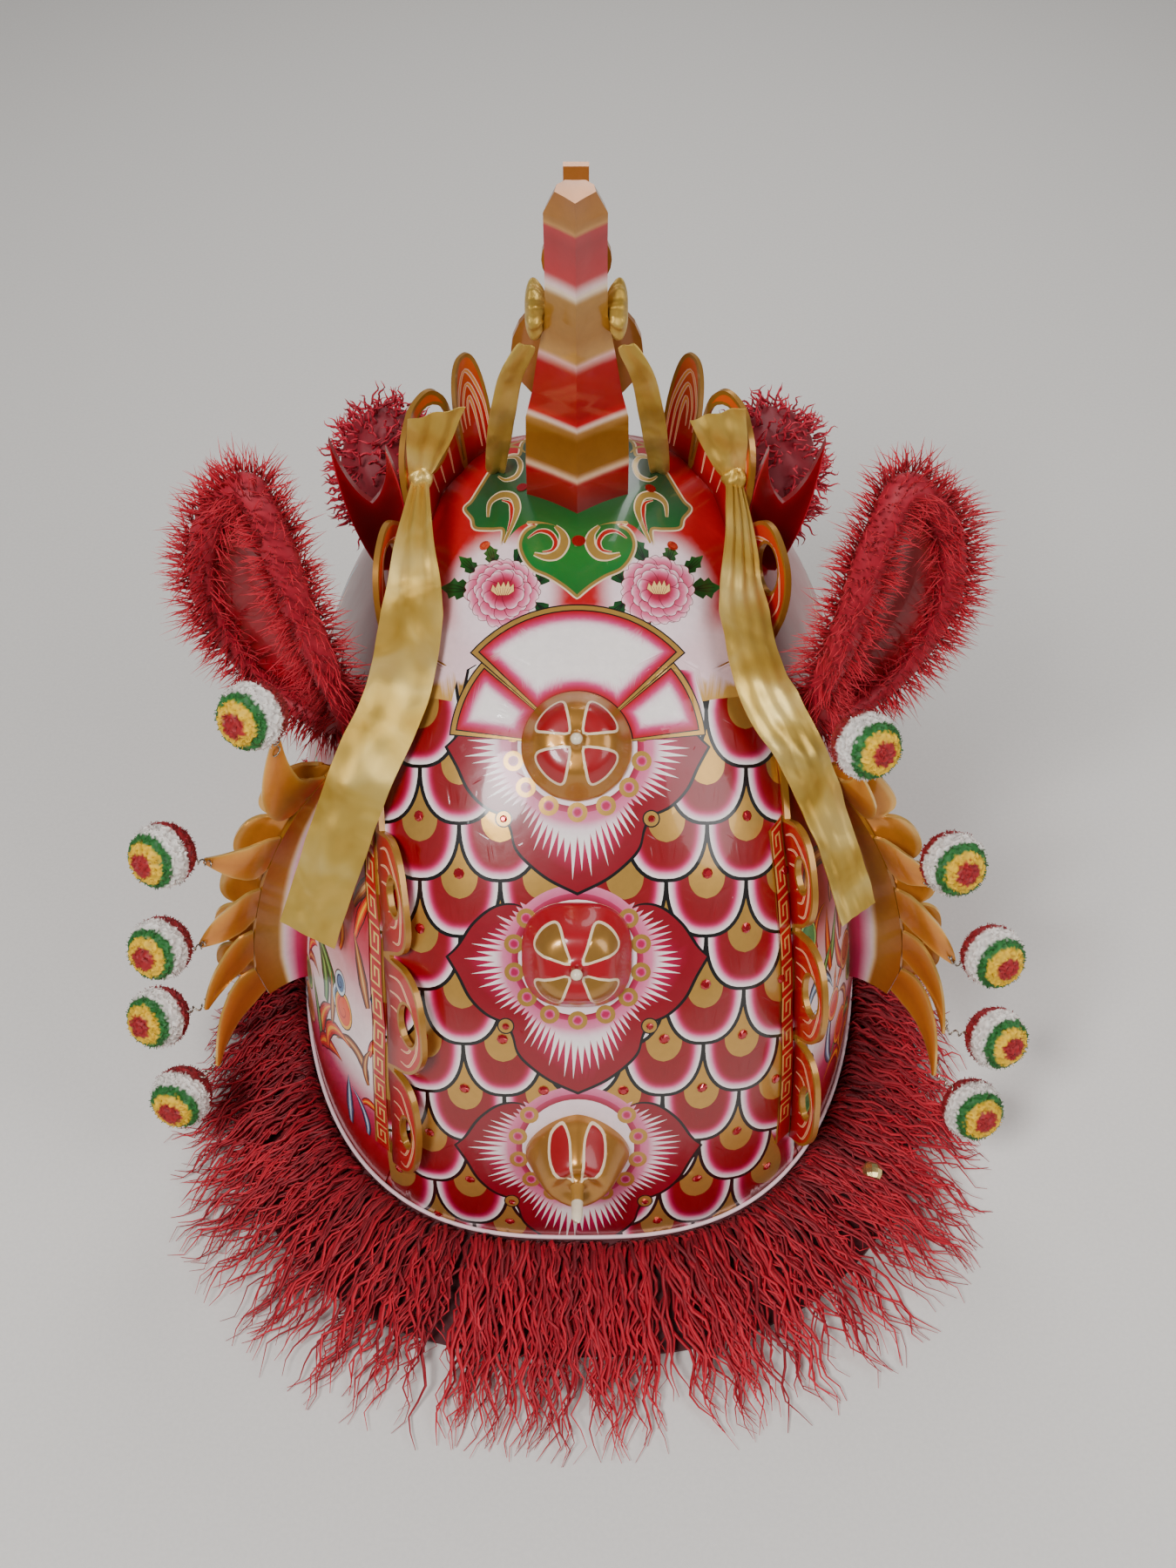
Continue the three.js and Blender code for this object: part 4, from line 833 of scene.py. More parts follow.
def buildBosses():
    quarter = smoothLine([(0.11, 0.11), (0.12, 0.46), (0.22, 0.58), (0.42, 0.46), (0.56, 0.24), (0.48, 0.11)],
                         closed=True, steps=4)
    drop = smoothLine([(0.07, 0.12), (0.08, 0.34), (0.13, 0.58), (0.27, 0.70), (0.42, 0.56), (0.38, 0.34),
                       (0.2, 0.16)],
                      closed=True, steps=4)
    for name, boss in bosses.items():
        red = name == "boss_middle"
        art = Painting(circle((0, 0), 1.0, 96), paints["crimson"] if red else "#B98A45", 0.0 if red else 1.0,
                       step=0.03)
        if red:
            art.add(circle((0, 0), 0.90, 96), paints["gold"], 1.0)
            art.add(circle((0, 0), 0.865, 96), paints["cream"])
            art.add(circle((0, 0), 0.84, 96), "#AE1028")
        cell = drop if name == "boss_lower" else quarter
        for flip in ((1, 1), (-1, 1)) if name == "boss_lower" else ((1, 1), (-1, 1), (1, -1), (-1, -1)):
            shape = cell * flip
            art.add(shape, paints["cream"])
            art.add(insetOutline(shape, 0.035), "#B38A4A" if red else "#A81422", 1.0 if red else 0.0)
        art.add(circle((0, 0), 0.13, 24), "#B38A4A" if not red else "#9C1026", 0.0)
        art.add(circle((0, 0), 0.075, 20), "#EADCC4", 0.0)
        piece = art.build(name + "_painted", bossPoint(boss), paintMaterial, (0.0, -1.4))
        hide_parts(name)


buildBosses()

# Keeled horn, banded in gold and red: up, width and lean back of each row
hornSize = {"height": 265.0, "width": 75.0, "keel": 24.0, "front": 24.0, "footY": 179.0, "crown": 445.0}
hornRows = np.array([(-0.12, 1, 0), (0.1, 1, -0.005), (0.24, 0.98, -0.015), (0.33, 0.84, -0.012),
                     (0.44, 0.73, -0.004), (0.6, 0.56, 0.03), (0.8, 0.54, 0.08), (0.93, 0.54, 0.115),
                     (1, 0.34, 0.13)])
hornBands = [(-0.12, "#8A0C1C"), (0.0, "#8A0C1C"), (0.085, "#A81424"), (0.10, "#E9C9A8"), (0.12, "#B98A45"),
             (0.22, "#A87830"),
             (0.245, "#C9A060"), (0.26, "#F0D8C8"), (0.275, "#C2142A"), (0.30, "#A50E24"), (0.44, "#B01024"),
             (0.47, "#E8B8B0"), (0.485, "#D8B070"), (0.55, "#BF9148"), (0.68, "#C49A50"), (0.70, "#F0DCC0"),
             (0.715, "#F2D8D4"),
             (0.75, "#C0142A"), (0.86, "#A80F22"), (0.895, "#B8222E"), (0.905, "#D8A868"), (0.92, "#BF8C44"),
             (1.0, "#B57C38")]

hornGolds = ("#B98A45", "#A87830", "#C9A060", "#D8B070", "#BF9148", "#C49A50", "#D8A868", "#BF8C44",
             "#B57C38")


def buildHorn():
    ups = np.concatenate([np.linspace(-0.12, 0.995, 190), [1.0]])
    wide = np.interp(ups, hornRows[:, 0], hornRows[:, 1])
    lean = np.interp(ups, hornRows[:, 0], hornRows[:, 2])
    half = hornSize["width"] / 2 * wide
    ridge = hornSize["footY"] - lean * hornSize["height"]
    side = ridge + hornSize["keel"] * np.sqrt(wide)
    front = side + hornSize["front"] * np.sqrt(wide)
    z = hornSize["crown"] + ups * hornSize["height"]
    section = [(0, ridge), (0.5 * half, (ridge + side) / 2 + 0.5), (half, side),
               (0.9 * half, lerp(side, front, 0.6)),
               (0.5 * half, front)]
    ring = section + [(-x, y) for x, y in section[:0:-1]]
    outer = np.stack([place(x, y, z) for x, y in ring], 1)
    fine = []
    for row in outer:
        line = []
        for k in range(len(row)):
            a, b = row[k], row[(k + 1) % len(row)]
            line += [a + (b - a) * t for t in (0, 0.33, 0.67)]
        fine.append(line)
    outer = np.array(fine)
    rows, columns = outer.shape[:2]
    points = np.concatenate([outer.reshape(-1, 3), [outer[0].mean(0), outer[-1].mean(0) + [0, 0, 0.001]]])
    faces = gridFaces(rows, columns, True).tolist()
    last = (rows - 1) * columns
    faces += [((k + 1) % columns, k, rows * columns) for k in range(columns)]
    faces += [(last + k, last + (k + 1) % columns, rows * columns + 1) for k in range(columns)]
    horn = makePiece("horn_painted", points, faces, paintMaterial, sharp=14)
    heights = np.repeat(np.append(ups, [-0.12, 1.0]), [columns] * rows + [1, 1])
    shine = np.interp(heights, [u for u, _ in hornBands],
                      [1.0 if c in hornGolds else 0.0 for _, c in hornBands])
    paintPoints(horn.data, ramp(hornBands, heights), shine)
    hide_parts("horn")


buildHorn()
print("bosses and horn painted")

# Crest boards: scroll lobes along the line, painted on both faces
boardSize = {"thickness": 4.5, "height": 84.0, "edge": 2.6}
boardLobes = [(0, 0.1, 0.95, 0), (0.105, 0.205, 1, 0.3), (0.21, 0.33, 0.72, 0.26), (0.335, 0.545, 0.04, 0),
              (0.55, 0.69, 0.46, 0.2), (0.695, 0.84, 0.56, 0.24), (0.845, 1.0, 0.47, 0.2)]


def boardChart(turn):
    shares = np.linspace(-0.01, 1.01, 205)
    column = 2 if turn < 0 else 3
    az, rise = boardRow(shares, column), boardRow(shares, 1)
    foot = domePoint(turn * az, rise)
    along = unit(np.gradient(foot, axis=0))
    normal = domeNormal(turn * az, rise)
    upright = unit(np.stack([np.zeros(205), normal[:, 1], np.maximum(normal[:, 2], 0.35)], -1))
    lean = np.radians(boardRow(shares, column + 2))
    up = unit(upright * np.cos(lean)[:, None] + np.stack([np.sin(lean), np.zeros(205), np.zeros(205)], -1))
    far = np.concatenate([[0], np.cumsum(np.linalg.norm(np.diff(foot, axis=0), axis=1))]) / mm
    return shares, foot, up, unit(np.cross(along, up)), far


def buildBoard(turn, word):
    shares, foot, up, out, far = boardChart(turn)
    spot = lambda share: np.interp(share, shares, far)

    def toSpace(spots, lift):
        pick = lambda rows: np.stack([np.interp(spots[:, 0], far, rows[:, k]) for k in range(3)], -1)
        return pick(foot) + unit(pick(up)) * spots[:, 1:] * mm + unit(pick(out)) * lift

    top, holes = [], []
    for start, end, tall, hole in boardLobes:
        inner = np.linspace(start, end, 33)
        off = np.abs(2 * (inner - start) / (end - start) - 1)
        high = np.maximum(7, boardSize["height"] * tall * np.maximum(1 - off ** 2.6, 0) ** (1 / 2.6))
        top += [(spot(s), h) for s, h in zip(inner, high)]
        if hole:
            middle = spot((start + end) / 2)
            half = (spot(end) - spot(start)) / 2
            holes.append((middle, half, boardSize["height"] * tall, hole))
    ends = [(spot(1.0), -5), (spot(0.0), -5)]
    outline = np.array(top + ends)
    art = Painting(outline, "#BE9148", 1.0, step=5.0, bothFaces=True)
    ground = lambda p: ramp([(0, "#7E0A14"), (14, "#B5121C"), (40, "#C8301C"), (70, "#D96A22")], p[..., 1])
    for start, end, tall, hole in boardLobes:
        left, right, high = spot(start), spot(end), boardSize["height"] * tall
        if tall < 0.1:
            strip = [(left, -4), (right, -4), (right, 4.4), (left, 4.4)]
            art.add(strip, paints["red"])
            continue
        inner = np.linspace(start, end, 33)
        off = np.abs(2 * (inner - start) / (end - start) - 1)
        line = np.stack([spot(inner), np.maximum(7, high * np.maximum(1 - off ** 2.6, 0) ** (1 / 2.6))], -1)
        lobe = np.concatenate([line, [(right, -4), (left, -4)]])
        middle = np.array([(left + right) / 2, high * 0.45])
        shrink = lambda k, lobe=lobe, middle=middle: insetOutline(lobe, k)
        art.add(shrink(boardSize["edge"]), ground)
        width = right - left
        for k, (a, b) in enumerate(((0.14, 0.86), (0.27, 0.74), (0.40, 0.62))):
            arc = [(left + width * a, 6), (left + width * (a + 0.03), high * (0.5 - 0.04 * k)),
                   (left + width * (a + b) / 2, high * (0.86 - 0.13 * k)),
                   (left + width * (b - 0.02), high * (0.62 - 0.05 * k)),
                   (left + width * (b + 0.01), high * 0.34)]
            art.add(stroke(arc, (0.8, 2.9, 2.6, 0.6)), "#EFC9B4")
            art.add(stroke(arc, (0.3, 1.5, 1.3, 0.2)), "#E9A050")
    for middle, half, high, hole in holes:
        ring = circle((middle, high * 0.58), 1.0, 24)
        scale = np.array([half * hole * 1.5, high * hole])
        centre = np.array([middle, high * 0.58])
        art.add((ring - centre) * (scale + 2.2) + centre, "#BE9148", 1.0)
        art.add((ring - centre) * scale + centre, None)
    board = art.build(f"crest_board_{word}_painted", toSpace, paintMaterial,
                      (boardSize["thickness"] / 2, -boardSize["thickness"] / 2))
    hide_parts(f"crest_board_{word}")

    # the fret band at the board's foot
    size = {"from": 0.54, "to": 0.985, "width": 17.0, "thickness": 1.6, "pitch": 26.0}
    column = 2 if turn < 0 else 3
    length = spot(size["to"]) - spot(size["from"])

    def fretPoint(spots, lift):
        share = np.interp(spots[:, 0] + spot(size["from"]), far, shares)
        az, rise = boardRow(share, column), boardRow(share, 1)
        push = (spots[:, 1] + 3.5) * mm
        shift = (np.degrees(push / (halfWidth * np.maximum(np.cos(np.radians(rise)), 0.3)))
                 * (1 if turn < 0 else -1))
        return domePoint(turn * (az + shift), rise, lift)
    w = size["width"]
    edge = np.array([(0, 0), (length, 0), (length, w), (0, w)], float)
    fret = Painting(edge, "#BE9148", 1.0, step=4.0)
    fret.add([(0, 2), (length, 2), (length, w - 2), (0, w - 2)], paints["red"])
    for k in range(int(length // size["pitch"])):
        x = 3 + k * size["pitch"]
        key = [(x, 3.5), (x, w - 3.5), (x + 19, w - 3.5), (x + 19, 5.0), (x + 6, 5.0), (x + 6, w - 7.5),
               (x + 13, w - 7.5)]
        key = np.array(key)
        for a, b in zip(key[:-1], key[1:]):
            d = unit(b - a) * 0.8
            n = np.array([-d[1], d[0]])
            fret.add([a - d - n, b + d - n, b + d + n, a - d + n], "#E8C87A", 0.6)
    band = fret.build(f"fret_band_{word}_painted", fretPoint, paintMaterial,
                      (size["thickness"], 0.05))
    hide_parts(f"fret_band_{word}")


for turn, word in ((-1, "left"), (1, "right")):
    buildBoard(turn, word)
print("crest boards painted")


# Cheek flanges, the lobed boards before them and the flame leaves on their rim
collar = {"flare": 47.0, "thickness": 3.0, "yLow": 10.0, "yHigh": 48.0, "zLow": 105.0, "zHigh": 322.0,
          "flares": [0.72, 0.94, 1, 1, 0.98, 0.9, 0.76, 0.5]}


# Half the width of the head at a place in millimetres
def headHalf(y, z):
    plan, rise = head["planPower"], head["risePower"]
    length = np.where(np.asarray(y) < widestAt, head["widest"] / mm, browLength / mm)
    rest = np.maximum(1 - (np.asarray(z) / (crownHeight / mm)) ** rise, 0) ** (plan / rise)
    return halfWidth / mm * np.maximum(rest - (np.abs(np.asarray(y) - widestAt) / length) ** plan,
                                       0) ** (1 / plan)


def collarPoint(turn, up, out):
    up, out = np.broadcast_arrays(np.asarray(up, float), out)
    flare = collar["flare"] * np.interp(up, np.linspace(0, 1, 8), collar["flares"])
    y, z = lerp(collar["yLow"], collar["yHigh"], up), lerp(collar["zLow"], collar["zHigh"], up)
    curl = np.maximum(out, 0) ** 1.6
    return np.stack([turn * (headHalf(y, z) + flare * 0.87 * out), y - flare * 0.52 * curl, z], -1)


collarBands = [(-0.12, "#8E0C2A"), (0.05, "#A51038"), (0.22, "#C8266A"), (0.38, "#EFB4C8"), (0.47, "#F4E0E0"),
               (0.52, "#E8CFA8"),
               (0.58, "#C2974E"), (1.0, "#B98438")]


def buildCollar(turn, word):
    ups, outs = np.meshgrid(np.linspace(0, 1, 60), np.linspace(-0.12, 1, 34), indexing="ij")
    middle = collarPoint(turn, ups, outs)
    normal = unit(np.cross(np.gradient(middle, axis=0), np.gradient(middle, axis=1)))
    half = collar["thickness"] / 2
    outer, inner = middle + normal * half, middle - normal * half
    if turn < 0:
        outer, inner = inner, outer
    tone = ramp(collarBands, outs)
    shine = np.clip((outs - 0.52) / 0.06, 0, 1)
    flip = slice(None, None, -1) if turn < 0 else slice(None)
    piece = makeGrid(f"collar_{word}_painted", place(*np.moveaxis(outer[flip], -1, 0)),
                     place(*np.moveaxis(inner[flip], -1, 0)),
                     tone[flip], shine[flip], paintMaterial)
    fixNormals(piece)
    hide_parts(f"collar_{word}")


def fixNormals(piece):
    work = bmesh.new()
    work.from_mesh(piece.data)
    bmesh.ops.recalc_face_normals(work, faces=work.faces)
    work.to_mesh(piece.data)
    work.free()


leaf = {"long": 80, "half": 19, "cup": 3, "thickness": 2.4}
leafRows = [  # place up the collar, size, tip left, tip right, pompom from the tip left, right
    (0.92, 1.1, (0.16, 0.2, 0.98), (0.06, 0.25, 0.52), (0.5, 0.3, 1.25), (-0.1, 0.3, 1.5)),
    (0.69, 1.0, (0.6, 0.18, 0.12), (0.46, 0.2, -0.2), (1.0, 0.5, 0.95), (0.4, 0.3, 1.45)),
    (0.47, 0.95, (0.56, 0.22, -0.36), (0.56, 0.3, -0.52), (1.05, 0.55, 0.7), (1.0, 0.4, 0.95)),
    (0.277, 0.9, (0.46, 0.45, -0.44), (0.42, 0.55, -0.7), (1.5, 0.2, -0.3), (1.55, 0.3, 0.1)),
    (0.09, 0.85, (0.38, 0.74, -0.42), (0.34, 0.8, -0.5), (1.15, 0.6, -0.95), (1.2, 0.7, -0.95)),
]


def toFrame(points):
    return place(points[..., 0], points[..., 1], points[..., 2])


# A thin wall from its middle grid, thickness in millimetres
def makeWall(name, middle, thickness, tone, shine, material):
    normal = unit(np.cross(np.gradient(middle, axis=0), np.gradient(middle, axis=1)))
    piece = makeGrid(name, toFrame(middle + normal * thickness / 2), toFrame(middle - normal * thickness / 2),
                     tone, shine, material)
    fixNormals(piece)
    return piece


def leafFrame(turn, row):
    tipOffset = row[2] if turn < 0 else row[3]
    rim, inside = collarPoint(turn, row[0], 1.0), collarPoint(turn, row[0], 0.9)
    outward = unit(rim - inside)
    root = rim + outward * 0.45
    tip = root + np.array([turn * tipOffset[0], -tipOffset[1], tipOffset[2]]) * leaf["long"]
    knee = root + outward * 0.45 * np.linalg.norm(tip - root)
    rimway = unit(collarPoint(turn, row[0] + 0.06, 1.0) - collarPoint(turn, row[0] - 0.06, 1.0))
    return root, knee, tip, rimway


def bezier(root, knee, tip, t):
    t = np.asarray(t)[..., None]
    spot = (1 - t) ** 2 * root + 2 * t * (1 - t) * knee + t * t * tip
    along = unit(2 * (1 - t) * (knee - root) + 2 * t * (tip - knee))
    return spot, along


def buildLeaf(turn, word, number, row):
    root, knee, tip, rimway = leafFrame(turn, row)
    shares = np.linspace(0, 1, 34)
    spot, along = bezier(root, knee, tip, shares)
    across = unit(rimway - along * ((along @ rimway) * shares)[:, None])
    wide = np.interp(shares, np.linspace(0, 1, 6), [0.86, 1, 0.95, 0.74, 0.4, 0.1])
    half = leaf["half"] * row[1] * wide
    cup = unit(np.cross(along, across)) * (turn * leaf["cup"] * wide * shares)[:, None]
    v = np.linspace(-1, 1, 13)
    ripple = 1 + 0.05 * np.sin(shares * 9)[:, None]
    middle = (spot[:, None] + across[:, None] * (half[:, None] * ripple * v)[..., None]
              + cup[:, None] * (1 - v ** 2)[None, :, None])
    edge = np.abs(v)[None, :] * np.ones((34, 1))
    tone = ramp([(0, "#CF8C3E"), (0.55, "#DB9844"), (0.86, "#E3A650"), (0.95, "#F6D894"), (1.0, "#E8C070")],
                edge)
    # darker at the root by the collar and lighter toward the tip, painted shade at the root and painted light
    # on the tip
    tone = tone * (0.8 + 0.3 * shares[:, None, None])
    piece = makeWall(f"flame_leaf_{word}_{number}_painted", middle, leaf["thickness"], tone,
                     np.full(edge.shape, 0.9), paintMaterial)
    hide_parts(f"flame_leaf_{word}_{number}")


scallop = {"lobes": 5, "steps": 120, "reach": 30, "thickness": 3.0, "gap": 0.8, "forward": 1.25}


def buildScallops(turn, word):
    lobes, steps = scallop["lobes"], scallop["steps"]
    seat = (collar["thickness"] + scallop["thickness"]) / 2 + scallop["gap"]
    forward = np.array([0, seat * scallop["forward"], 0])
    ups = np.linspace(0.06, 1, steps)
    off = np.abs(2 * ((lobes * np.linspace(0, 1, steps)) % 1) - 1)
    roundness = (1 - np.minimum(0.999, off) ** 2.4) ** (1 / 2.4)
    reach = scallop["reach"] * (0.3 + 0.7 * roundness)
    rim, back = collarPoint(turn, ups, 1.0) + forward, collarPoint(turn, ups, 0.75) + forward
    zero = np.zeros(steps)
    far = rim + np.stack([turn * reach, zero, reach * 0.25], -1)
    mid = rim + np.stack([turn * reach * 0.55, zero + 1, reach * 0.1], -1)
    rows = []
    for t in np.linspace(0, 1, 12):
        rows.append(lerp(back, rim, t))
    for t in np.linspace(0.1, 1, 10):
        rows.append(lerp(lerp(rim, mid, min(1, t * 2)), far, max(0, t * 2 - 1)) if t > 0.5
                    else lerp(rim, mid, t * 2))
    middle = np.stack(rows, 1)
    share = np.linspace(0, 1, middle.shape[1])[None, :] * np.ones((steps, 1))
    tone = ramp([(0, "#B07432"), (0.8, "#D39444"), (0.93, "#DCA04C"), (0.98, "#F4D898"), (1, "#E8BE70")],
                share)
    piece = makeWall(f"scallop_board_{word}_painted", middle, scallop["thickness"], tone,
                     np.full(share.shape, 0.9), paintMaterial)
    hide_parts(f"scallop_board_{word}")


# Many thin threads at once: middle lines, their half thickness and colours, each thread closed at both ends
def makeThreads(name, lines, radius, colours, material, sides=3):
    count, steps = lines.shape[:2]
    along = unit(np.gradient(lines, axis=1))
    helper = np.broadcast_to(np.array([0.31, 0.45, 0.84]), along.shape)
    sideA = unit(np.cross(along, helper))
    sideB = np.cross(along, sideA)
    turns = np.arange(sides) * 2 * math.pi / sides
    ring = (lines[:, :, None] + radius[:, :, None, None] * (np.cos(turns)[:, None] * sideA[:, :, None]
                                                           + np.sin(turns)[:, None] * sideB[:, :, None]))
    points = ring.reshape(-1, 3)
    tube = gridFaces(steps, sides, True)
    base = (np.arange(count) * steps * sides)[:, None, None]
    quads = (tube[None] + base).reshape(-1, 4).tolist()
    caps = [list(range(sides - 1, -1, -1)), list(range((steps - 1) * sides, steps * sides))]
    ends = [[b + k for k in cap] for b in (np.arange(count) * steps * sides).tolist() for cap in caps]
    piece = makePiece(name, points, quads + ends, material, sharp=0)
    paintPoints(piece.data, np.repeat(colours.reshape(-1, 3), sides, axis=0), np.zeros(len(points)))
    print(name, count, "threads,", count * ((steps - 1) * sides * 2 + 2 * (sides - 2)), "triangles")
    return piece


# Dyed wool and rabbit fur: matt fibres with a soft edge light
def woolMaterial(name, sheen):
    material, tree, shader, _ = newMaterial(name)
    paint = addNode(tree, "ShaderNodeAttribute", attribute_name="paint")
    tree.links.new(paint.outputs["Color"], shader.inputs["Base Color"])
    shader.inputs["Roughness"].default_value = 0.62
    shader.inputs["Sheen Weight"].default_value = sheen
    shader.inputs["Sheen Roughness"].default_value = 0.4
    shader.inputs["Sheen Tint"].default_value = rgba("#FF6A70")
    return material


sheepWool = woolMaterial("dyedSheepWool", 0.1)
rabbitFur = woolMaterial("dyedRabbitFur", 0.3)
woolYarn = woolMaterial("cutWoolYarn", 0.1)


# Places spread evenly over a node, their normals, and the node's own points
def surfaceSamples(node, count, rng):
    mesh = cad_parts[node].data
    matrix = np.array(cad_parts[node].matrix_world)
    points = np.empty(len(mesh.vertices) * 3, np.float32)
    mesh.vertices.foreach_get("co", points)
    points = points.reshape(-1, 3) @ matrix[:3, :3].T + matrix[:3, 3]
    mesh.calc_loop_triangles()
    corners = np.array([t.vertices[:] for t in mesh.loop_triangles])
    a, b, c = (points[corners[:, k]] for k in range(3))
    cross = np.cross(b - a, c - a)
    area = np.linalg.norm(cross, axis=1)
    pick = rng.choice(len(corners), count, p=area / area.sum())
    u, v = rng.random(count), rng.random(count)
    fold = u + v > 1
    u[fold], v[fold] = 1 - u[fold], 1 - v[fold]
    spots = a[pick] + (b - a)[pick] * u[:, None] + (c - a)[pick] * v[:, None]
    return spots, unit(cross[pick]), points


fur = {"count": 3400, "length": 0.021, "radius": 0.0006, "steps": 4}


def buildEarFur(turn, word, seed):
    rng = np.random.default_rng(seed)
    spots, normals, points = surfaceSamples(f"ear_fur_{word}", fur["count"], rng)
    middle = points.mean(0)
    drift = unit(spots - middle) * 0.35 + np.array([turn * 0.1, -0.1, 0.25])
    heading = unit(normals + drift + rng.normal(0, 0.22, spots.shape))
    length = fur["length"] * rng.uniform(0.6, 1.2, len(spots))
    shares = np.linspace(0, 1, fur["steps"])
    bend = rng.normal(0, 0.3, spots.shape) + [0, 0, -0.25]
    lines = (spots[:, None] - heading[:, None] * 0.001 + heading[:, None]
             * (length[:, None] * shares)[..., None]
             + bend[:, None] * (length[:, None] * shares ** 2 * 0.5)[..., None])
    radius = fur["radius"] * np.array([1.0, 0.9, 0.6, 0.08]) * rng.uniform(0.7, 1.2, (len(spots), 1))
    shade = rng.uniform(0, 1, len(spots))[:, None]
    # each hair darker at the root and lighter at the tip, painted shade among the hairs and painted light on
    # the tips, over a random tone for each hair
    tone = ramp([(0, "#6A0412"), (0.5, "#B40822"), (1.2, "#E02238")], shade * 0.6 + shares * 0.6)
    makeThreads(f"ear_fur_{word}_strands", lines, radius, tone, rabbitFur)


wool = {"locks": 250, "perLock": 10, "steps": 16, "radius": 0.0017, "seed": 5, "shadeSheet": 0.56,
        "shadeSheetRows": 8,
        "shadeSheetColumns": 180}
# degrees round the head and millimetres from the rim
fringeReach = np.array([(0, 160), (25, 160), (45, 152), (60, 128), (80, 72), (110, 54), (180, 54)])


def buildFringe():
    rng = np.random.default_rng(wool["seed"])
    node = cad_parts["fringe"]
    tree = BVHTree.FromPolygons([node.matrix_world @ v.co for v in node.data.vertices],
                                [p.vertices[:] for p in node.data.polygons])
    shares = np.linspace(0, 1, wool["steps"])
    batches, tones, radii = [], [], []
    edge = np.linspace(-180, 180, 721)
    rim = domePoint(edge, 0)
    far = np.concatenate([[0], np.cumsum(np.linalg.norm(np.diff(rim, axis=0), axis=1))])
    for k in range(wool["locks"]):
        az = np.interp(far[-1] * (k + rng.random()) / wool["locks"], far, edge)
        reach = np.interp(abs(az), fringeReach[:, 0], fringeReach[:, 1]) * mm
        foot = domePoint(az, 0)
        ahead = domePoint(az + 1, 0) - domePoint(az - 1, 0)
        outward = unit(np.array([ahead[1], -ahead[0], 0]))
        sideways = np.array([-outward[1], outward[0], 0])
        outward = unit(outward + np.array([0, -0.35, 0]) * np.clip((abs(az) - 40) / 25, 0, 1)
                       * (abs(az) < 100))
        lean = rng.normal(0, 0.10)
        wave, phase = rng.uniform(2.6, 4.4), rng.uniform(0, 6.3)
        for _ in range(wool["perLock"]):
            length = reach * rng.uniform(0.72, 1.06) * (1.0 if rng.random() > 0.25 else 0.7)
            start = foot + sideways * rng.normal(0, 0.006) + outward * rng.uniform(0.002, 0.006)
            width = rng.uniform(0.0020, 0.0062)
            curl = np.sin(shares * wave * 2 * math.pi + phase + rng.normal(0, 0.5)) * width * (0.3 + shares)
            roll = np.cos(shares * wave * 2 * math.pi + phase + rng.normal(0, 0.5)) * width * 0.8
            gather = rng.normal(0, 0.006) * (1 - 0.6 * shares)
            lay = (start + outward * (length * shares)[:, None]
                   + sideways * (curl + gather * np.sin(shares * 3) + lean * length * shares)[:, None])
            lift = rng.uniform(0.0005, 0.011) * np.sin(np.pi * np.clip(shares * 0.8 + 0.2, 0, 1))
            height = np.empty(wool["steps"])
            for i, spot in enumerate(lay):
                hit = tree.ray_cast(Vector((spot[0], spot[1], 0.2)), Vector((0, 0, -1)))[0]
                height[i] = max(hit.z if hit else 0.0, 0.0)
            height = np.convolve(np.pad(height, 2, mode="edge"), np.ones(5) / 5, mode="valid")
            z = height + lift + roll * 0.5 + 0.0015
            z = np.maximum(z, 0.0014)
            z[0] = 0.019
            lay[:, 2] = z
            batches.append(lay)
            tone = rng.uniform(0, 1)
            # each thread darker at its root and lighter toward its end, painted shade among the locks and
            # painted light on the ends, over a random tone for each thread
            tones.append(tone * 0.55 + shares * 0.45)
            radii.append(wool["radius"] * rng.uniform(0.6, 1.15) * np.interp(shares, [0, 0.1, 0.7, 1],
                                                                             [0.8, 1, 0.8, 0.15]))
    lines, tones, radii = np.array(batches), np.array(tones), np.array(radii)
    colours = ramp([(0, "#4E0410"), (0.45, "#9A061E"), (0.8, "#C40C28"), (1.0, "#D8203A")], tones)
    third = len(lines) // 3
    for k, name in enumerate(("fringe_wool_a", "fringe_wool_b", "fringe_wool_c")):
        part = slice(k * third, (k + 1) * third if k < 2 else len(lines))
        makeThreads(name, lines[part], radii[part], colours[part], sheepWool)
    # a dark sheet under the locks from the rim out over the floor, painted shade among them
    size = (wool["shadeSheetRows"], wool["shadeSheetColumns"])
    azs = np.linspace(-180, 180, size[1] + 1)[:-1]
    rows = np.linspace(0, 1, size[0])
    foot, ahead = domePoint(azs, 0), domePoint(azs + 1, 0) - domePoint(azs - 1, 0)
    outward = unit(np.stack([ahead[:, 1], -ahead[:, 0], np.zeros(size[1])], -1))
    reach = np.interp(np.abs(azs), fringeReach[:, 0], fringeReach[:, 1] * wool["shadeSheet"]) * mm
    top = foot + outward * (reach * rows[:, None])[..., None]
    top[..., 2] = lerp(0.021, 0.004, rows)[:, None]
    under = top.copy()
    under[..., 2] = lerp(0.006, 0.001, rows)[:, None]
    tone = np.tile(linear("#4A0610"), (*size, 1))
    shadeSheet = makeGrid("fringe_shadeSheet", top, under, tone, np.zeros(size), sheepWool,
                       wrap=True)
    fixNormals(shadeSheet)
    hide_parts("fringe")


mane = {"count": 520, "length": 0.016, "radius": 0.0011, "steps": 9}


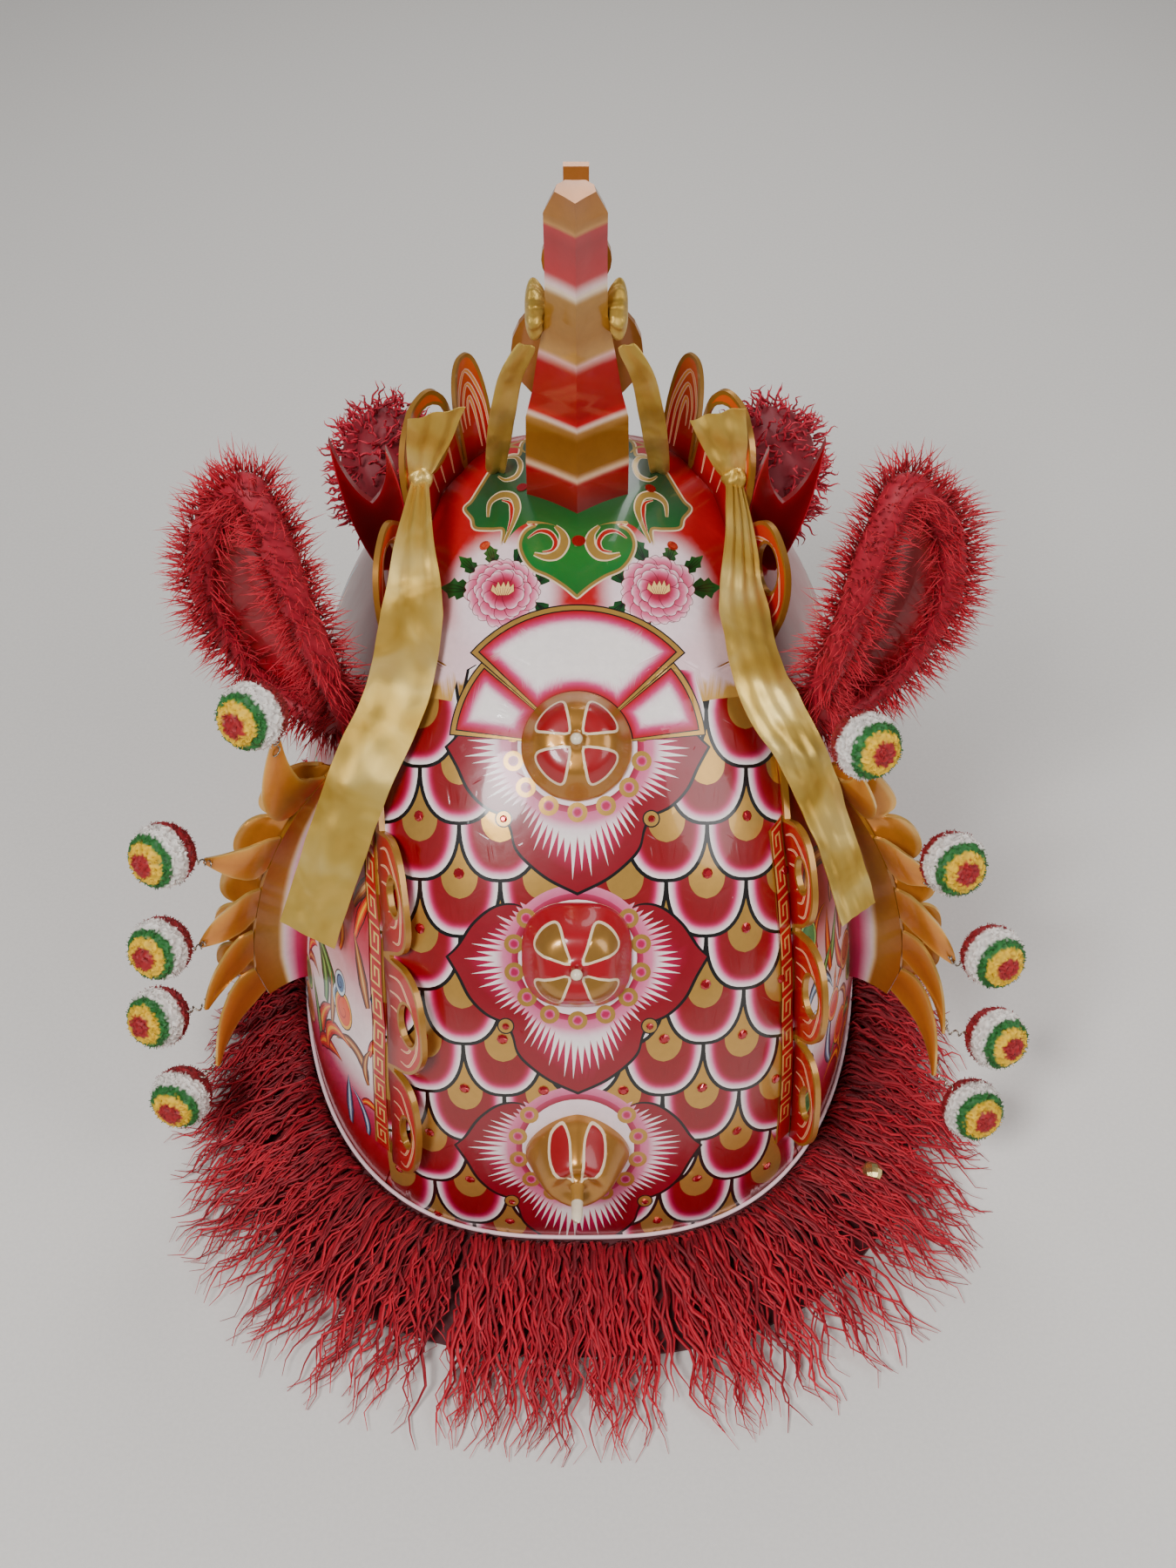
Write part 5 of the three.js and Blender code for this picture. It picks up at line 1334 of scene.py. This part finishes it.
def buildMane(word, seed):
    rng = np.random.default_rng(seed)
    spots, normals, _ = surfaceSamples(f"mane_{word}", mane["count"], rng)
    shares = np.linspace(0, 1, mane["steps"])
    heading = unit(normals + rng.normal(0, 0.3, spots.shape) + [0, 0, 0.1])
    sideways = unit(np.cross(heading, rng.normal(0, 1, spots.shape)))
    length = mane["length"] * rng.uniform(0.6, 1.3, len(spots))
    phase = rng.uniform(0, 6.3, len(spots))[:, None]
    curl = np.sin(shares * 9 + phase) * 0.003 * shares
    lines = (spots[:, None] + heading[:, None] * (length[:, None] * shares)[..., None]
             + sideways[:, None] * curl[..., None])
    radius = mane["radius"] * np.interp(shares, [0, 0.7, 1], [1, 0.8, 0.15]) * np.ones((len(spots), 1))
    # each lock darker at the root and lighter at the tip, painted shade in the wool and painted light on the
    # tips, over a random tone for each lock
    tone = ramp([(0, "#7A0C1E"), (0.5, "#B8142F"), (1, "#DC3048")], rng.random(len(spots))[:, None] * 0.6
                + shares * 0.4)
    makeThreads(f"mane_{word}_wool", lines, radius, tone, sheepWool)


for turn, word in ((-1, "left"), (1, "right")):
    buildCollar(turn, word)
    buildScallops(turn, word)
    for number, row in enumerate(leafRows, 1):
        buildLeaf(turn, word, number, row)
    buildEarFur(turn, word, 20 + turn)
    buildMane(word, 40 + turn)
print("collars, leaves and fur ready")
buildFringe()
print("fringe ready")


# Pompoms of cut yarn, ringed in colour, on coiled spring wire
pompom = {"radius": 24.0, "count": 450, "yarn": 0.00035, "turns": 7, "coil": 0.0026, "wire": 0.0007,
          "wireSteps": 90,
          "proud": 2.9, "straight": 0.25}  # straight: the share of the wire that lies on the leaf
pompomRings = [(0, "#A01018"), (0.40, "#A01018"), (0.44, "#F2C200"), (0.72, "#F0BC00"), (0.76, "#1C6E28"),
               (1.06, "#1A6426"), (1.10, "#EDE6DE"), (1.62, "#EDE6DE"), (1.68, "#8E0F1A"), (3.15, "#8A0E1A")]


# Bright spring steel, drawn wire
def steelWire():
    material, _, shader, _ = newMaterial("springSteelWire")
    shader.inputs["Base Color"].default_value = rgba("#B9B4A6")
    shader.inputs["Metallic"].default_value = 1.0
    shader.inputs["Roughness"].default_value = 0.3
    return material


wireMaterial = steelWire()


def buildPompom(turn, word, number, row, seed):
    rng = np.random.default_rng(seed)
    offset = row[4] if turn < 0 else row[5]
    root, knee, tip, rimway = leafFrame(turn, row)
    offset = np.array([turn * offset[0], -offset[1], offset[2]]) * pompom["radius"]
    (start, end), along = bezier(root, knee, tip, np.array([0.88, 1.0]))
    across = unit(rimway - along[1] * (rimway @ along[1]))
    face = unit(np.cross(along[1], across) * turn)
    proud = pompom["proud"] * (-1 if offset @ face < 0 else 1)
    start, end = start + face * proud, end + face * proud
    centre = end + offset
    radius = pompom["radius"]
    facing = unit(np.array([turn * 0.42, -0.82, 0.38]) + rng.normal(0, 0.12, 3))
    work = bmesh.new()
    bmesh.ops.create_icosphere(work, subdivisions=5, radius=1.0)
    heading = np.array([v.co[:] for v in work.verts])
    faces = [[v.index for v in face.verts] for face in work.faces]
    work.free()
    angle = np.arccos(np.clip(heading @ facing, -1, 1)) + rng.normal(0, 0.035, len(heading))
    clump = rng.uniform(0.93, 1.02, len(heading))
    # yarn sunk below the ball's surface is darker and yarn standing proud is lighter, painted shade between
    # the clumps and painted light on them
    tone = ramp(pompomRings, angle) * (0.55 + 0.5 * (clump[:, None] - 0.93) / 0.09)
    ball = makePiece(f"pompom_{word}_{number}_yarn", toFrame(centre + heading * radius * clump[:, None]),
                     faces, woolYarn)
    paintPoints(ball.data, tone, np.zeros(len(heading)))
    pick = rng.choice(len(heading), pompom["count"], replace=False)
    reach = np.array([0.86, 1.04]) * radius
    lines = toFrame(centre + heading[pick][:, None]
                    * (reach * rng.uniform(0.98, 1.03, (len(pick), 1)))[..., None])
    makeThreads(f"pompom_{word}_{number}_ends", lines, np.full(lines.shape[:2], pompom["yarn"]),
                np.repeat(tone[pick][:, None], 2, 1),
                woolYarn)
    # the coiled wire, from the leaf into the ball
    steps, straight = pompom["wireSteps"], pompom["straight"]
    t = np.linspace(0, 1, steps)
    middle = np.where((t < straight)[:, None], lerp(start, end, np.minimum(t / straight, 1)[:, None]),
                      lerp(end, centre, np.clip((t - straight) / (1 - straight), 0, 1)[:, None]))
    away = unit(centre - start)
    sideA = unit(np.cross(away, [0.3, 0.2, 0.9]))
    sideB = np.cross(away, sideA)
    spin = t * pompom["turns"] * 2 * math.pi
    coil = toFrame(middle) + pompom["coil"] * 0.8 * (np.cos(spin)[:, None] * sideA
                                                     + np.sin(spin)[:, None] * sideB)
    makeThreads(f"pompom_{word}_{number}_spring", coil[None], np.full((1, steps), pompom["wire"]),
                np.full((1, steps, 3), 0.5), wireMaterial, sides=5)
    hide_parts(f"pompom_{word}_{number}")


for turn, word in ((-1, "left"), (1, "right")):
    for number, row in enumerate(leafRows, 1):
        buildPompom(turn, word, number, row, 60 + number + 10 * turn)
print("pompoms ready")


# Pieces whose solid is already right, smoothed and given their finish
def dress(node, name, material, tone, shine=0.0, levels=0, bevel=0.0):
    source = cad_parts[node]
    work = bpy.data.objects.new(name + "_work", source.data.copy())
    work.matrix_world = source.matrix_world.copy()
    bpy.context.scene.collection.objects.link(work)
    if bevel:
        edge = work.modifiers.new("bevel", "BEVEL")
        edge.width, edge.segments, edge.limit_method = bevel, 3, "ANGLE"
        edge.angle_limit = math.radians(35)
    if levels:
        weld = work.modifiers.new("weld", "WELD")
        weld.merge_threshold = 0.00002
        soft = work.modifiers.new("soft", "SUBSURF")
        soft.levels = soft.render_levels = levels
    bpy.context.view_layer.update()
    made = work.evaluated_get(bpy.context.evaluated_depsgraph_get())
    mesh = bpy.data.meshes.new_from_object(made)
    mesh.transform(work.matrix_world)
    bpy.data.objects.remove(work)
    mesh.name = name
    mesh.materials.clear()
    mesh.materials.append(material)
    for layer in list(mesh.color_attributes):
        mesh.color_attributes.remove(layer)
    points = np.empty(len(mesh.vertices) * 3, np.float32)
    mesh.vertices.foreach_get("co", points)
    points = points.reshape(-1, 3)
    mesh.polygons.foreach_set("use_smooth", [bool(levels)] * len(mesh.polygons))
    piece = bpy.data.objects.new(name, mesh)
    bpy.context.scene.collection.objects.link(piece)
    colours = tone(points) if callable(tone) else np.tile(linear(tone), (len(points), 1))
    paintPoints(mesh, colours, np.full(len(points), shine))
    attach(piece, "root")
    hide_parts(node)
    return piece


# Polyester lame ribbon: thin, metallic, creased across
def lameCloth(name, crease):
    material, tree, shader, coords = newMaterial(name)
    folds = addNode(tree, "ShaderNodeTexNoise", {"Vector": coords, "Scale": 26.0, "Detail": 2.5,
                                                 "Roughness": 0.45,
                                                 "Distortion": 0.6})
    weave = addNode(tree, "ShaderNodeTexWave", {"Vector": coords, "Scale": 900.0, "Distortion": 1.0})
    # the colour follows the fold noise that also raises the bump, darker in the hollows and lighter on the
    # crests, painted shade and highlight on the creases
    tone = rampNode(tree, folds.outputs["Fac"], [(0.30, "#BC9538"), (0.50, "#D2AE52"), (0.72, "#E4C878")])
    tree.links.new(tone.outputs[0], shader.inputs["Base Color"])
    fine = addNode(tree, "ShaderNodeMath", {0: weave.outputs["Fac"], 1: 0.04}, operation="MULTIPLY")
    height = addNode(tree, "ShaderNodeMath", {0: folds.outputs["Fac"], 1: fine.outputs[0]}, operation="ADD")
    bump = addNode(tree, "ShaderNodeBump", {"Strength": crease, "Distance": 0.004,
                                            "Height": height.outputs[0]})
    tree.links.new(bump.outputs[0], shader.inputs["Normal"])
    shader.inputs["Metallic"].default_value = 0.6
    shader.inputs["Roughness"].default_value = 0.36
    return material


lameRibbon = lameCloth("lamePolyesterRibbon", 0.55)
lameCrumpled = lameCloth("lamePolyesterCrumpled", 1.0)

ribbonSize = {"width": 46.0, "lift": 18.0, "knot": 9.0, "thickness": 0.7, "knotShare": 0.19,
              "knotHeight": 50.0,
              "knotBite": 1.5, "steps": 150, "columns": 19}
tailRows = np.array([  # share, rise, left, right, lift, open left, open right
    (0, 68.5, 76, 78, 3.3, 0.24, 0.24), (0.15, 67.2, 68, 70, 2, 0.6, 0.55),
    (0.3, 63.2, 57.5, 59.5, 1.25, 1, 0.9), (0.5, 56, 46.5, 50, 1.15, 1, 0.95),
    (0.7, 47, 45.4, 50.5, 1.4, 1, 0.8), (0.85, 37, 46.6, 52, 1.35, 1, 0.7),
    (1, 28, 47.5, 52, 1.6, 1, 0.75),
])


def toHead(points):
    return (np.asarray(points) - place(0, 0, 0)) / mm


def buildRibbon(turn, word):
    shares, foot, up, out, _ = boardChart(turn)
    pick = lambda rows: np.array([np.interp(ribbonSize["knotShare"], shares, rows[:, k]) for k in range(3)])
    back = pick(out)
    back = -back if back[1] > 0 else back
    seat = boardSize["thickness"] / 2 + ribbonSize["knot"] - ribbonSize["knotBite"]
    knot = toHead(pick(foot)) + unit(pick(up)) * ribbonSize["knotHeight"] + unit(back) * seat
    column = 2 if turn < 0 else 3
    spots = toHead(domePoint(turn * tailRows[:, column], tailRows[:, 1], 0.0))
    normals = domeNormal(turn * tailRows[:, column], tailRows[:, 1])
    spots = spots + normals * (ribbonSize["lift"] * tailRows[:, 4])[:, None]
    spots[0] = knot
    line = smoothLine(spots, steps=20)
    lengths = np.concatenate([[0], np.cumsum(np.linalg.norm(np.diff(line, axis=0), axis=1))])
    steps, columns = ribbonSize["steps"], ribbonSize["columns"]
    t = np.linspace(0, 1, steps)
    centre = np.stack([np.interp(t * lengths[-1], lengths, line[:, k]) for k in range(3)], -1)
    along = unit(np.gradient(centre, axis=0))
    outward = unit(np.array([-0.15 if turn < 0 else 0.5, -0.6, 0.7]))
    across = unit(np.cross(along, outward))
    wide = ribbonSize["width"] / 2 * np.interp(t, tailRows[:, 0], tailRows[:, 5 if turn < 0 else 6])
    v = np.linspace(-1, 1, columns)
    gathers = (1 - np.clip(t / 0.32, 0, 1)) ** 1.2
    pleat = (gathers[:, None] * 2.6 + 0.5) * np.sin(v * (9 + 2 * turn) + 0.8)
    lengthFold = 1.5 * np.sin(v * 2.4 + 3.0 * t[:, None] + turn) * np.clip(t * 2, 0, 1)[:, None]
    cross = sum(a * np.sin(t[:, None] * f + v * s + p) for a, f, s, p in
                ((0.6, 31, 1.5, 0.4), (0.45, 57, -2.1, 2.0),
                 (0.3, 83, 3.0, 1.1))) * np.clip(t * 3, 0.2, 1)[:, None]
    middle = (centre[:, None] + across[:, None] * (wide[:, None] * v)[..., None]
              + outward * (pleat + lengthFold + cross)[..., None])
    name = f"ribbon_{word}_tail"
    tail = makeWall(name, middle, ribbonSize["thickness"], np.full((steps, columns, 3), 0.5),
                    np.ones((steps, columns)), lameRibbon)
    area = sheetArea(middle)
    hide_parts(f"ribbon_{word}")
    # the loop above the knot
    heights = np.linspace(0, 1, 40)
    half = lerp(5, ribbonSize["width"] * 0.55, np.sqrt(heights))
    rise = heights * ribbonSize["width"] * 1.15
    lean = np.stack([-turn * rise * 0.28, rise * 0.12, rise], -1)
    w = np.linspace(-1, 1, 17)
    fold = (1.8 * np.sin(w * 7 + turn) * (0.4 + 0.6 * heights[:, None])
            + 1.2 * np.sin(heights[:, None] * 11 + w * 2))
    bow = (knot + lean[:, None] + np.stack([w * 0.8, w * 0.3, w * 0], -1)[None] * half[:, None, None]
           + fold[..., None] * np.array([0.2, -0.9, 0.1]))
    bowPiece = makeWall(f"ribbon_{word}_bow", bow, ribbonSize["thickness"], np.full((40, 17, 3), 0.5),
                        np.ones((40, 17)),
                        lameRibbon)
    bowArea = sheetArea(bow)
    # the knot, a creased ball
    rings, around = 13, 28
    a, b = np.meshgrid(np.linspace(0, math.pi, rings + 2)[1:-1],
                       np.linspace(0, 2 * math.pi, around, endpoint=False),
                       indexing="ij")
    fold = 1 + 0.10 * np.sin(b * 5 + a * 3)
    ball = knot + ribbonSize["knot"] * fold[..., None] * np.stack([np.sin(a) * np.cos(b),
                                                                   np.sin(a) * np.sin(b), np.cos(a)], -1)
    pole = np.array([0, 0, ribbonSize["knot"]])
    points = toFrame(np.concatenate([ball.reshape(-1, 3), [knot + pole, knot - pole]]))
    faces = gridFaces(rings, around, True).tolist()
    last, count = (rings - 1) * around, rings * around
    faces += [(count, (k + 1) % around, k) for k in range(around)]
    faces += [(count + 1, last + k, last + (k + 1) % around) for k in range(around)]
    piece = makePiece(f"ribbon_{word}_knot", points, faces, lameRibbon)
    fixNormals(piece)


# The area of a grid of places in millimetres, in square metres
def sheetArea(middle):
    a, b = middle[1:, :-1] - middle[:-1, :-1], middle[:-1, 1:] - middle[:-1, :-1]
    c, d = middle[1:, :-1] - middle[1:, 1:], middle[:-1, 1:] - middle[1:, 1:]
    return (np.linalg.norm(np.cross(a, b), axis=-1)
            + np.linalg.norm(np.cross(c, d), axis=-1)).sum() / 2 * mm * mm


ear = {"length": 215.0, "half": 40.0, "depth": 26.0, "wall": 3.0, "rootY": 100.0, "rootZ": 312.0}


def earPlace(turn, along, across, deep):
    root = np.array([turn * (headHalf(ear["rootY"], ear["rootZ"]) + ear["half"] * 0.42), ear["rootY"],
                     ear["rootZ"]])
    rise, wide = unit(np.array([turn * 0.12, 0.02, 1])), unit(np.array([turn * 0.86, 0.5, 0]))
    face = unit(np.array([turn * 0.48, -0.85, 0.12]))
    bow = np.sin(np.pi * along) * 0.1 * ear["length"] * turn
    return (root + rise * (along * ear["length"])[..., None] + wide * across[..., None] - face
            * deep[..., None]
            + np.array([1.0, 0, 0]) * bow[..., None])


def earWidthAt(along):
    return ear["half"] * np.sin(np.pi * np.minimum(1, 0.1 + along * 0.9) ** 0.8) ** 0.7


def buildEar(turn, word):
    shares = np.linspace(0, 1, 60)
    along = lerp(0.02, 0.97, shares)
    half = np.maximum(2, earWidthAt(along))
    depth = np.minimum(ear["depth"] * np.sin(np.pi * lerp(0.1, 0.95, shares)) ** 0.6, 0.6 * half)
    v = np.linspace(-1, 1, 31)
    middle = earPlace(turn, along[:, None] * np.ones(31), half[:, None] * v, depth[:, None] * (1 - v ** 2))
    # darker down the middle of the cup and lighter at its rim, painted shade in the hollow, the same on both
    # faces
    tone = ramp([(0, "#7E0A1E"), (0.5, "#A50E2C"), (1, "#C01838")], np.abs(v)[None] * np.ones((60, 1)))
    cup = makeWall(f"ear_cup_{word}_painted", middle, ear["wall"], tone, np.zeros((60, 31)), paintMaterial)
    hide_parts(f"ear_cup_{word}")


def quadratic(a, b, c, count=14):
    t = np.linspace(0, 1, count)[:-1, None]
    return (1 - t) ** 2 * np.array(a) + 2 * t * (1 - t) * np.array(b) + t * t * np.array(c)


antler = {"height": 118.0, "half": 23.0, "round": 86, "rise": 57, "lean": 6, "halfThickness": 3.0, "row": 204}


def buildAntler(turn, word):
    h, half = antler["height"], antler["half"]
    outline = np.concatenate([[(-half * 0.3, -6)], quadratic((half * 0.4, -6), (half * 1.2, h * 0.35),
                                                             (half, h)),
                              quadratic((half, h), (half * 0.75, h * 0.6), (half * 0.1, h * 0.5)),
                              quadratic((half * 0.1, h * 0.5), (-half * 0.6, h * 0.62),
                                        (-half * 0.7, h * 0.9)),
                              quadratic((-half * 0.7, h * 0.9), (-half * 1.25, h * 0.35),
                                        (-half * 0.3, -6))[:-1]])
    foot = toHead(domePoint(turn * antler["round"], antler["rise"]))
    lean = math.radians(antler["lean"]) * turn

    def toSpace(spots, lift):
        x, z = turn * spots[:, 0], spots[:, 1]
        turnedX = x * math.cos(lean) + z * math.sin(lean)
        turnedZ = -x * math.sin(lean) + z * math.cos(lean)
        middle = antler["row"] - antler["halfThickness"]
        return place(foot[0] + turn * 3 + turnedX, middle + lift / mm, foot[2] + turnedZ)
    art = Painting(outline, "#C03040", 0.0, step=5.0, under="#8E0A1E", underGold=0.0, bothFaces=True)
    inside = edgeDistance(outline)
    art.add(insetOutline(outline, 0.9), lambda p: ramp([(0, "#9A0A22"), (4, "#7E0016"), (12, "#6E0012")],
                                                       inside(p)))
    piece = art.build(f"antler_{word}_painted", toSpace, paintMaterial,
                      (antler["halfThickness"], -antler["halfThickness"]))
    fixNormals(piece)
    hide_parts(f"antler_{word}")


# Cotton piping sewn round the rim
piping = {"radius": 0.0017, "lift": 0.0020, "around": 300, "sides": 10, "colour": "#EBC9CE"}


def buildPiping():
    around, sides = piping["around"], piping["sides"]
    az = np.linspace(-180, 180, around, endpoint=False)
    centre = domePoint(az, 0, piping["lift"])
    out = unit(domePoint(az, 0, 0.004) - domePoint(az, 0, 0.0))
    turns = np.linspace(0, 2 * math.pi, sides, endpoint=False)
    section = np.cos(turns)[:, None] * out[:, None] + np.sin(turns)[:, None] * np.array([0, 0, 1.0])
    ring = centre[:, None] + piping["radius"] * section
    faces = gridFaces(around + 1, sides, True) % (around * sides)
    piece = makePiece("rim_piping_cord", ring.reshape(-1, 3), faces, sheepWool)
    paintPoints(piece.data, np.tile(linear(piping["colour"]), (around * sides, 1)), np.zeros(around * sides))
    fixNormals(piece)
    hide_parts("rim_piping")


# Side walls: a pale band with tapered flames and small curls, red at the foot and over the crown
sideScale = {"round": 4.2, "up": 6.0}  # millimetres for a degree
sideMotifs = {"flames": 108, "curls": 22, "line": "#1A0E10", "seed": 11}


def sidePoint(spots, lift):
    return domePoint(spots[:, 0] / sideScale["round"], spots[:, 1] / sideScale["up"], lift)


def buildSides():
    rng = random.Random(sideMotifs["seed"])
    for turn, word in ((-1, "left"), (1, "right")):
        column = 2 if turn < 0 else 3
        shares = np.linspace(1, 0, 30)
        line = [(boardRow(s, column) + 0.6, boardRow(s, 1)) for s in shares]
        front = [(180, 73.5), (180, 49), (138, 49), (138, 0)]
        foot = [(a, 0) for a in np.linspace(134, boardRow(1.0, column) + 4, 24)]
        outline = np.array(line + front + foot) * [turn * sideScale["round"], sideScale["up"]]
        ground = lambda p: ramp([(0, "#A20C1E"), (34, "#AC0E2A"), (58, "#C2406E"), (84, "#F2E0E0"),
                                 (125, "#F2DCDC"),
                                 (175, "#C2204A"), (230, "#A80F26")],
                                p[..., 1] + 3.0 * np.clip(np.abs(p[..., 0]) - 480, 0, 80))
        art = Painting(outline, ground, 0.0, step=12.0)
        colours = (("#C2141C", "#E8622A", "#F4B93A"), ("#B3122E", "#D8402A", "#F0A030"),
                   ("#1C5E38", "#3F8E58", "#A8C878"),
                   ("#2E4A6E", "#6E8FAE", "#D8E2EA"), ("#7A3A1E", "#B87034", "#E0B070"))
        for _ in range(sideMotifs["flames"]):
            az, rise = rng.uniform(34, 132), rng.uniform(1, 36)
            if az < boardRow(1.0, column) + 6:
                continue
            x, y = turn * az * sideScale["round"], rise * sideScale["up"]
            dark, mid, light = colours[rng.randrange(len(colours))]
            size, bend, heading = rng.uniform(28, 62), rng.uniform(-0.9, 0.9), rng.uniform(0.9, 2.3)
            line = []
            for t in np.linspace(0, 1, 7):
                angle = heading + bend * t * 1.8
                line.append((x + size * t * math.cos(angle), y + size * t * math.sin(angle)))
            wide = size * 0.26
            art.add(stroke(line, (wide * 0.5, wide, wide * 0.75, 0.4), steps=3), sideMotifs["line"])
            art.add(stroke(line, (wide * 0.36, wide * 0.82, wide * 0.58, 0.2), steps=3), dark)
            art.add(stroke(line, (wide * 0.2, wide * 0.5, wide * 0.34, 0.1), steps=3), mid)
            art.add(stroke(line, (0.1, wide * 0.22, wide * 0.12, 0.1), steps=3), light)
        for _ in range(sideMotifs["curls"]):
            az, rise = rng.uniform(38, 128), rng.uniform(3, 33)
            x, y, size = turn * az * sideScale["round"], rise * sideScale["up"], rng.uniform(8, 15)
            dark, mid, light = colours[rng.randrange(len(colours))]
            art.add(circle((x, y), size, 20), sideMotifs["line"])
            art.add(circle((x, y), size - 0.9, 20), light)
            art.add(circle((x, y), size - 3.0, 18), mid)
            spin = [(x + (size - 2) * (1 - t) * math.cos(t * 9), y + (size - 2) * (1 - t) * math.sin(t * 9))
                    for t in np.linspace(0, 0.9, 14)]
            art.add(stroke(spin, (0.6, 1.2, 0.5), steps=2), dark)
        piece = art.build(f"side_paint_{word}", sidePoint, paintMaterial, (0.42, 0.06))
        fixNormals(piece)


# Faceted glass rhinestones and foil sequins glued in the painting
def glassStone():
    material, _, shader, _ = newMaterial("foiledGlassStone")
    shader.inputs["Base Color"].default_value = rgba("#B00A1E")
    shader.inputs["Metallic"].default_value = 0.6
    shader.inputs["Roughness"].default_value = 0.12
    shader.inputs["Coat Weight"].default_value = 1.0
    shader.inputs["Coat Roughness"].default_value = 0.03
    return material


stoneSize = {"tall": 0.0018, "foilTall": 0.0006, "seat": 0.0006, "table": 0.55}


def buildStones():
    points, faces = [], []
    outline = panelOutline(0.0)
    for x, t, size in stones:
        radius, foil = abs(size), size < 0
        if not insideOutline(np.array([[x, t]]), outline)[0]:
            continue
        tall = stoneSize["foilTall"] if foil else stoneSize["tall"]
        centre = panelPoint([[x, t]], 0.0)[0]
        around = panelPoint([[x + 1, t], [x, t + 1]], 0.0)
        a = unit(around[0] - centre)
        n = unit(np.cross(a, around[1] - centre))
        b = np.cross(n, a)
        first, sides = len(points), 8 if not foil else 14
        for reach, up in ((1.0, 0.0002), (1.0, 0.0007), (stoneSize["table"], tall)):
            for k in range(sides):
                angle = 2 * math.pi * (k + (0.5 if reach < 0.8 else 0)) / sides
                spoke = math.cos(angle) * a + math.sin(angle) * b
                points.append(centre + radius * mm * reach * spoke + n * (up + stoneSize["seat"]))
        ring = gridFaces(3, sides, True) + first
        faces += ring.tolist()
        faces.append(list(range(first + sides - 1, first - 1, -1)))
        faces.append(list(range(first + 2 * sides, first + 3 * sides)))
    piece = makePiece("rhinestones", points, faces, glassStone(), smooth=False)
    fixNormals(piece)


buildPiping()
for turn, word in ((-1, "left"), (1, "right")):
    buildRibbon(turn, word)
    buildEar(turn, word)
    buildAntler(turn, word)
    dress(f"rosette_{word}", f"rosette_{word}_cloth", lameCrumpled, "#C9A545", levels=2)
    dress(f"ribbon_swag_{word}", f"ribbon_swag_{word}_cloth", lameCrumpled, "#C9A545", levels=2)
    # The mane's and ear fur's solids under the strands are dressed in dark reds, painted shade deep in the
    # fur
    dress(f"mane_{word}", f"mane_{word}_ground", sheepWool, "#7A0C1E", levels=1)
    dress(f"ear_fur_{word}", f"ear_fur_{word}_ground", rabbitFur, "#A00E26", levels=1)
dress("gourd_plaque", "gourd_plaque_painted", paintMaterial, "#BC8446", 0.8, bevel=0.0012)
dress("face_mask", "face_mask_painted", paintMaterial, "#A50E2C", levels=1)
dress("head_shell", "head_shell_paper", paintMaterial, "#B01028")
buildSides()
buildStones()
print("ribbons, ears and side paint ready")


# Camera, floor and light

stage = {"floorColour": "#DEDAD5", "floorReach": 6.0, "keySize": 0.9, "keyPower": 66, "fillSize": 1.6,
         "backSize": 1.4,
         "fillPower": 24, "worldStrength": 0.2}


def buildStage():
    aim = Vector(panelOrigin) + Vector((camera["aimX"], 0, 0))
    data = bpy.data.cameras.new("photoCamera")
    data.sensor_fit = "VERTICAL"
    data.sensor_height = 36
    data.lens = camera["lens"]
    eye = bpy.data.objects.new("photoCamera", data)
    eye.location = aim - Vector(lookDir) * camera["distance"]
    eye.rotation_euler = Vector(lookDir).to_track_quat("-Z", "Y").to_euler()
    bpy.context.scene.collection.objects.link(eye)
    bpy.context.scene.camera = eye

    material, tree, shader, coords = newMaterial("paperFloor")  # seamless studio paper, matte
    grain = addNode(tree, "ShaderNodeTexNoise", {"Vector": coords, "Scale": 300.0})
    tone = rampNode(tree, grain.outputs["Fac"], [(0.3, "#D9D5D0"), (0.7, stage["floorColour"])])
    tree.links.new(tone.outputs[0], shader.inputs["Base Color"])
    shader.inputs["Roughness"].default_value = 0.9
    mesh = bpy.data.meshes.new("studioFloor")
    reach = stage["floorReach"]
    mesh.from_pydata([(-reach, -reach, 0), (reach, -reach, 0), (reach, reach, 0), (-reach, reach, 0)], [],
                     [(0, 1, 2, 3)])
    mesh.materials.append(material)
    floor = bpy.data.objects.new("studioFloor", mesh)
    floor.location = (0, 0, -0.0005)
    bpy.context.scene.collection.objects.link(floor)

    def areaLight(name, place, size, power):
        lamp = bpy.data.lights.new(name, "AREA")
        lamp.shape = "DISK"
        lamp.size = size
        lamp.energy = power
        holder = bpy.data.objects.new(name, lamp)
        holder.location = place
        holder.rotation_euler = (Vector((0, 0, 0.3)) - Vector(place)).to_track_quat("-Z", "Y").to_euler()
        bpy.context.scene.collection.objects.link(holder)

    areaLight("keyLight", (-0.9, -1.5, 2.3), stage["keySize"], stage["keyPower"])
    areaLight("fillLight", (1.6, -0.8, 1.6), stage["fillSize"], stage["fillPower"])
    areaLight("backLight", (0.2, 1.8, 2.0), stage["backSize"], stage["fillPower"])
    world = bpy.data.worlds.new("studioWorld")
    world.use_nodes = True
    background = world.node_tree.nodes["Background"]
    background.inputs["Color"].default_value = rgba("#F1F2F5")
    background.inputs["Strength"].default_value = stage["worldStrength"]
    bpy.context.scene.world = world


buildStage()
print("stage ready")
